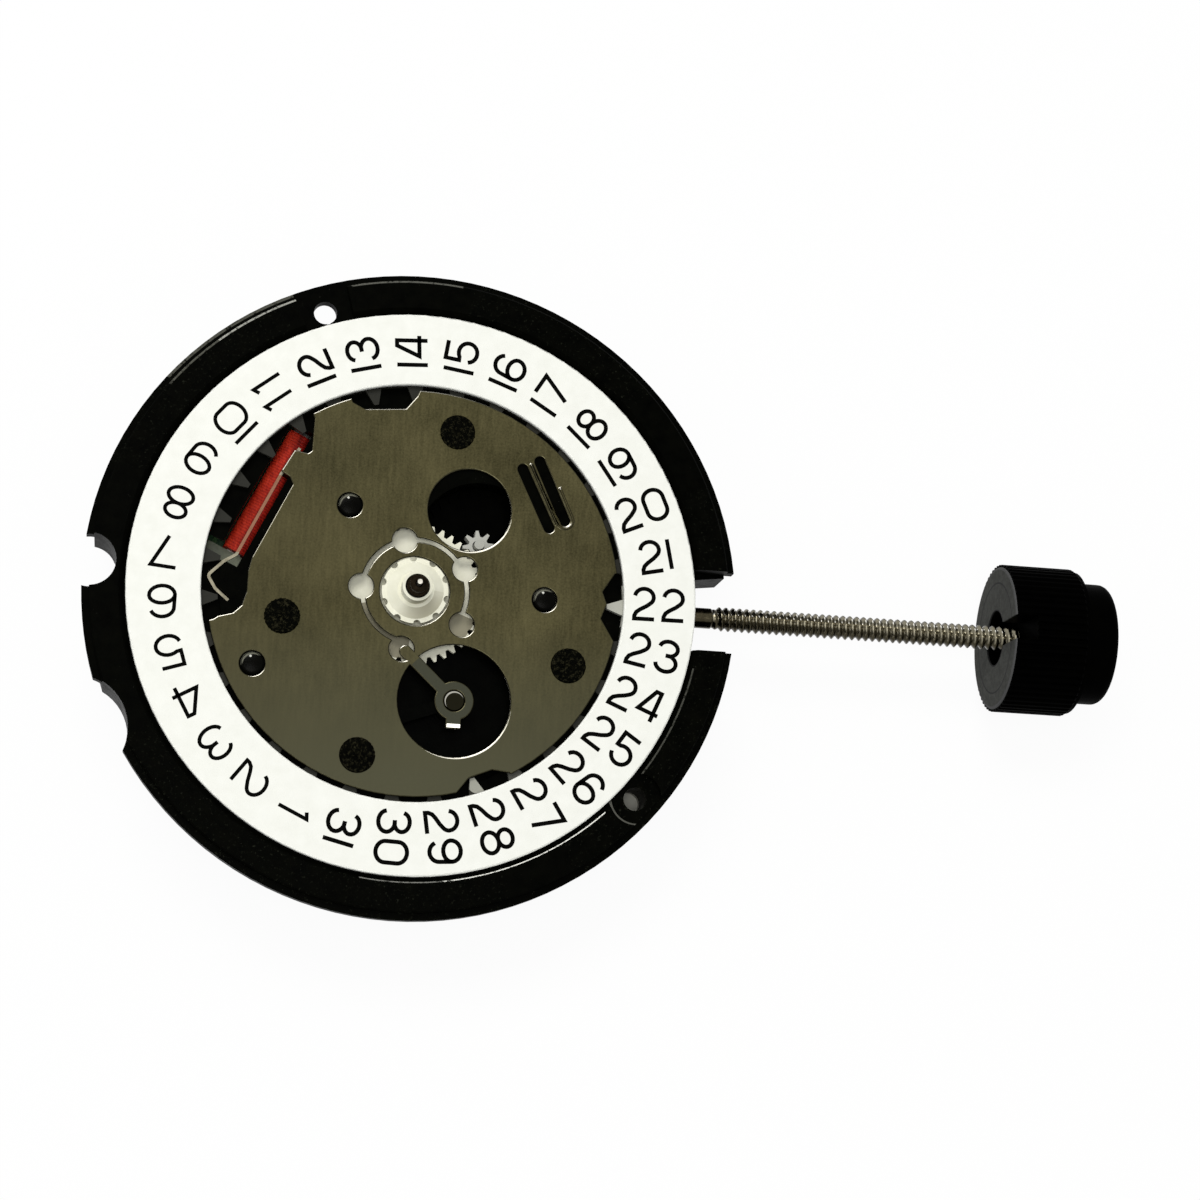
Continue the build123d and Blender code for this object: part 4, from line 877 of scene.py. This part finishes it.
def stroke(points, width):
    """Left and right edges of a line drawn with a pen of a given width, corners mitred."""
    clean = [points[0]]
    for p in points[1:]:
        if math.hypot(p[0] - clean[-1][0], p[1] - clean[-1][1]) > same_point:
            clean.append(p)
    closed = math.hypot(clean[0][0] - clean[-1][0], clean[0][1] - clean[-1][1]) < closing_gap
    if closed:
        clean.pop()
    count = len(clean)
    left, right = [], []
    for i, p in enumerate(clean):
        before = clean[i - 1] if closed or i else None
        after = clean[(i + 1) % count] if closed or i < count - 1 else None
        normals = []
        for a, b in ((before, p), (p, after)):
            if a is not None and b is not None:
                dx, dy = b[0] - a[0], b[1] - a[1]
                size = math.hypot(dx, dy)
                normals.append((-dy / size, dx / size))
        nx = sum(n[0] for n in normals) / len(normals)
        ny = sum(n[1] for n in normals) / len(normals)
        size = max(math.hypot(nx, ny), mitre_limit)
        nx, ny = nx / size**2, ny / size**2
        left.append((p[0] + nx * width / 2, p[1] + ny * width / 2))
        right.append((p[0] - nx * width / 2, p[1] - ny * width / 2))
    return left, right, closed


def number_strokes(number):
    """Centre lines of a number, centred on zero, reading along +X, in millimetres."""
    text = str(number)
    width = wide_digit if number <= last_wide_number else narrow_digit
    widths = [0.0 if d == "1" else width for d in text]
    gap = 0.0 if len(text) == 1 else eleven_gap if number == 11 else digit_gap
    lead = flag_share * width if number == 1 else 0.0
    start = -(sum(widths) + gap) / 2
    lines = []
    for digit, advance in zip(text, widths):
        for line in digit_lines(digit, number in (1, 11)):
            lines.append([(start + x * width, (y - 0.5) * digit_height) for x, y in line])
        start += advance + gap
    return [[(x + lead / 2, y) for x, y in line] for line in lines]


def stroke_faces(base, count, closed):
    """Faces of one inked stroke, its points given as left and right edge, on top and below."""
    faces = []
    under = 2 * count
    for i in range(count if closed else count - 1):
        j = (i + 1) % count
        l0, l1, r0, r1 = base + i, base + j, base + count + i, base + count + j
        faces.append((l0, r0, r1, l1))
        faces.append((l0 + under, l1 + under, r1 + under, r0 + under))
        faces.append((l0, l1, l1 + under, l0 + under))
        faces.append((r1, r0, r0 + under, r1 + under))
    if not closed:
        for i in (0, count - 1):
            l0, r0 = base + i, base + count + i
            faces.append((l0, r0, r0 + under, l0 + under))
    return faces


def date_numerals():
    """The numbers 1 to 31, printed round the disc and reading outwards."""
    points, faces = [], []
    for number in range(1, days + 1):
        angle = math.radians(number_22_angle + (22 - number) * number_pitch)
        middle = one_digit_middle if number < 10 else two_digit_middle
        ink = bold_ink if number > last_wide_number else fine_ink
        c, s = math.cos(angle), math.sin(angle)
        for layer, line in enumerate(number_strokes(number)):
            left, right, closed = stroke(line, ink)
            faces += stroke_faces(len(points), len(left), closed)
            for z in (disc_top + ink_rise + layer * layer_rise, disc_top - ink_rise):
                for x, y in left + right:
                    points.append(((middle + x) * c - y * s, (middle + x) * s + y * c, z))
    return add_piece("date_numerals", points, faces, ink_black, "date_ring")


date_numerals()


# Threaded stem

stem_start = 5.8
square_start = 6.5
square_half = 0.25
neck_start = 8.6
neck_radius = 0.42
pilot_radius = 0.22
groove_start = 9.25
groove_end = 9.85
groove_radius = 0.28
run_out = 0.06
thread_start = 12.4
thread_end = 27.2
thread_crest = 0.5
thread_root = 0.375
thread_pitch = 0.2915
thread_steepness = 1.25
root_flat = 0.1
end_height = 0.2
steps_per_turn = 10
points_around = 32
round_radii = {"pilot": pilot_radius, "neck": neck_radius, "groove": groove_radius}


def stem_stations():
    """Places along the stem, each with the shape that it has there."""
    stations = [
        (stem_start, "pilot"), (square_start, "pilot"), (square_start, "square"),
        (neck_start, "square"), (neck_start, "neck"), (groove_start, "neck"),
        (groove_start, "groove"), (groove_end, "groove"), (groove_end, "neck"),
        (thread_start - run_out, "neck"),
    ]
    length = thread_end - thread_start
    steps = int(length / thread_pitch * steps_per_turn)
    for step in range(steps + 1):
        stations.append((thread_start + length * step / steps, "thread"))
    return stations


def stem_radius(shape, x, angle):
    """Distance of the stem's surface from its axis."""
    if shape == "square":
        return square_half / max(abs(math.cos(angle)), abs(math.sin(angle)))
    if shape == "thread":
        phase = (x / thread_pitch - angle / (2 * math.pi)) % 1.0
        rise = (1 - abs(2 * phase - 1)) * thread_steepness - root_flat
        rise = min(max(rise, 0.0), 1.0)
        fade = min(1.0, (x - thread_start) / thread_pitch,
                   (thread_end - x) / thread_pitch + end_height)
        return thread_root + (thread_crest - thread_root) * rise * max(fade, 0.0)
    return round_radii[shape]


def cut_stem():
    """Closed skin round the stem's axis, one ring of points at each station, ends fanned."""
    stations = stem_stations()
    around = points_around
    points, faces = [], []
    for x, shape in stations:
        for angle in circle(around):
            r = stem_radius(shape, x, angle)
            points.append((x, r * math.cos(angle), stem_z + r * math.sin(angle)))
    for a in range(0, (len(stations) - 1) * around, around):
        b = a + around
        for k in range(around):
            n = (k + 1) % around
            faces.append((a + n, b + n, b + k, a + k))
    start_centre, end_centre = len(points), len(points) + 1
    points.append((stations[0][0], 0, stem_z))
    points.append((stations[-1][0], 0, stem_z))
    last = (len(stations) - 1) * around
    for k in range(around):
        n = (k + 1) % around
        faces.append((n, k, start_centre))
        faces.append((last + k, last + n, end_centre))
    return add_piece(
        "threaded_stem", points, faces, stem_metal, "stem", smooth=32)


threaded_stem = cut_stem()
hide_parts("setting_stem")


# Stage, light and camera

floor_gap = 0.02
floor_half = 900
floor_shadow = 0.06


def seen_directly(tree):
    """One for the rays by which the camera, gloss and glass see a thing, else zero."""
    path = tree.nodes.new("ShaderNodeLightPath")
    seen = calc(tree, "MAXIMUM", path.outputs["Is Camera Ray"], path.outputs["Is Glossy Ray"])
    return calc(tree, "MAXIMUM", seen, path.outputs["Is Transmission Ray"])


def mix_shaders(tree, factor, first, second):
    node = tree.nodes.new("ShaderNodeMixShader")
    tree.links.new(factor, node.inputs["Fac"])
    tree.links.new(first, node.inputs[1])
    tree.links.new(second, node.inputs[2])
    return node.outputs["Shader"]


def white_for_the_eye(name, plain, keep):
    """Plain surface that the camera, gloss and glass see as white, with a trace of shadow."""
    material = bpy.data.materials.new(name)
    material.use_nodes = True
    tree = material.node_tree
    tree.nodes.clear()
    out = tree.nodes.new("ShaderNodeOutputMaterial")
    diffuse = tree.nodes.new("ShaderNodeBsdfDiffuse")
    diffuse.inputs["Color"].default_value = (*plain, 1)
    white = tree.nodes.new("ShaderNodeEmission")
    clear = tree.nodes.new("ShaderNodeBsdfTransparent")
    side = tree.nodes.new("ShaderNodeNewGeometry")
    seen = calc(tree, "MULTIPLY", seen_directly(tree), 1 - keep)
    front = mix_shaders(tree, seen, diffuse.outputs["BSDF"], white.outputs["Emission"])
    surface = mix_shaders(tree, side.outputs["Backfacing"], front, clear.outputs["BSDF"])
    tree.links.new(surface, out.inputs["Surface"])
    return material


floor_z = stem_z - crown_radius - floor_gap
floor_mesh = bpy.data.meshes.new("floor")
floor_mesh.from_pydata(
    [[x * floor_half * MM, y * floor_half * MM, floor_z * MM] for x, y in
     ((-1, -1), (1, -1), (1, 1), (-1, 1))], [], [(0, 1, 2, 3)])
floor_mesh.materials.append(white_for_the_eye("floor_white", (0.9, 0.9, 0.9), floor_shadow))
floor = bpy.data.objects.new("floor", floor_mesh)
bpy.context.scene.collection.objects.link(floor)

ambient_strength = 0.42
world = bpy.data.worlds.new("studio")
bpy.context.scene.world = world
world.use_nodes = True
world_tree = world.node_tree
world_tree.nodes.clear()
world_out = world_tree.nodes.new("ShaderNodeOutputWorld")
backdrop = world_tree.nodes.new("ShaderNodeBackground")
backdrop.inputs["Color"].default_value = (1, 1, 1, 1)
ambient = world_tree.nodes.new("ShaderNodeBackground")
ambient.inputs["Color"].default_value = (0.95, 0.97, 1.0, 1)
ambient.inputs["Strength"].default_value = ambient_strength
studio = mix_shaders(world_tree, seen_directly(world_tree), ambient.outputs["Background"],
                     backdrop.outputs["Background"])
world_tree.links.new(studio, world_out.inputs["Surface"])

# Lamps: name, place and size in metres, power in watts and colour
lamp_target = Vector((0.004, 0, 0))
lamps = (
    ("key", (-0.08, 0.19, 0.32), (0.2, 0.14), 0.66, (1.0, 0.985, 0.95)),
    ("fill", (-0.28, 0.02, 0.24), (0.2, 0.2), 0.15, (1, 1, 1)),
    ("top", (-0.03, -0.04, 0.36), (0.12, 0.12), 0.34, (1.0, 0.99, 0.95)),
)
for name, place, size, power, colour in lamps:
    lamp = bpy.data.lights.new(name, "AREA")
    lamp.shape = "RECTANGLE"
    lamp.size, lamp.size_y = size
    lamp.energy = power
    lamp.color = colour
    holder = bpy.data.objects.new(name, lamp)
    bpy.context.scene.collection.objects.link(holder)
    holder.location = place
    holder.rotation_mode = "QUATERNION"
    holder.rotation_quaternion = (Vector(place) - lamp_target).to_track_quat("Z", "Y")

# The camera: where the photograph was taken from, its aim, its roll and its lens
camera_at = Vector((-10.59, -21.77, 111.28))
camera_aim = Vector((7.459, 0.12, 0.0))
camera_roll = math.radians(2.173)
lens_pixels = 2854.2
image_pixels = 1200
sensor = 36.0

forward = (camera_aim - camera_at).normalized()
right = forward.cross(Vector((0, 1, 0))).normalized()
up = right.cross(forward)
turned_right = right * math.cos(camera_roll) + up * math.sin(camera_roll)
turned_up = up * math.cos(camera_roll) - right * math.sin(camera_roll)
lens = bpy.data.cameras.new("camera")
lens.sensor_width = sensor
lens.lens = lens_pixels / image_pixels * sensor
lens.clip_start = 0.005
lens.clip_end = 10
camera = bpy.data.objects.new("camera", lens)
bpy.context.scene.collection.objects.link(camera)
camera.matrix_world = Matrix((
    (turned_right.x, turned_up.x, -forward.x, camera_at.x * MM),
    (turned_right.y, turned_up.y, -forward.y, camera_at.y * MM),
    (turned_right.z, turned_up.z, -forward.z, camera_at.z * MM),
    (0, 0, 0, 1),
))
bpy.context.scene.camera = camera
bpy.context.scene.view_settings.view_transform = "Standard"

bpy.context.view_layer.update()
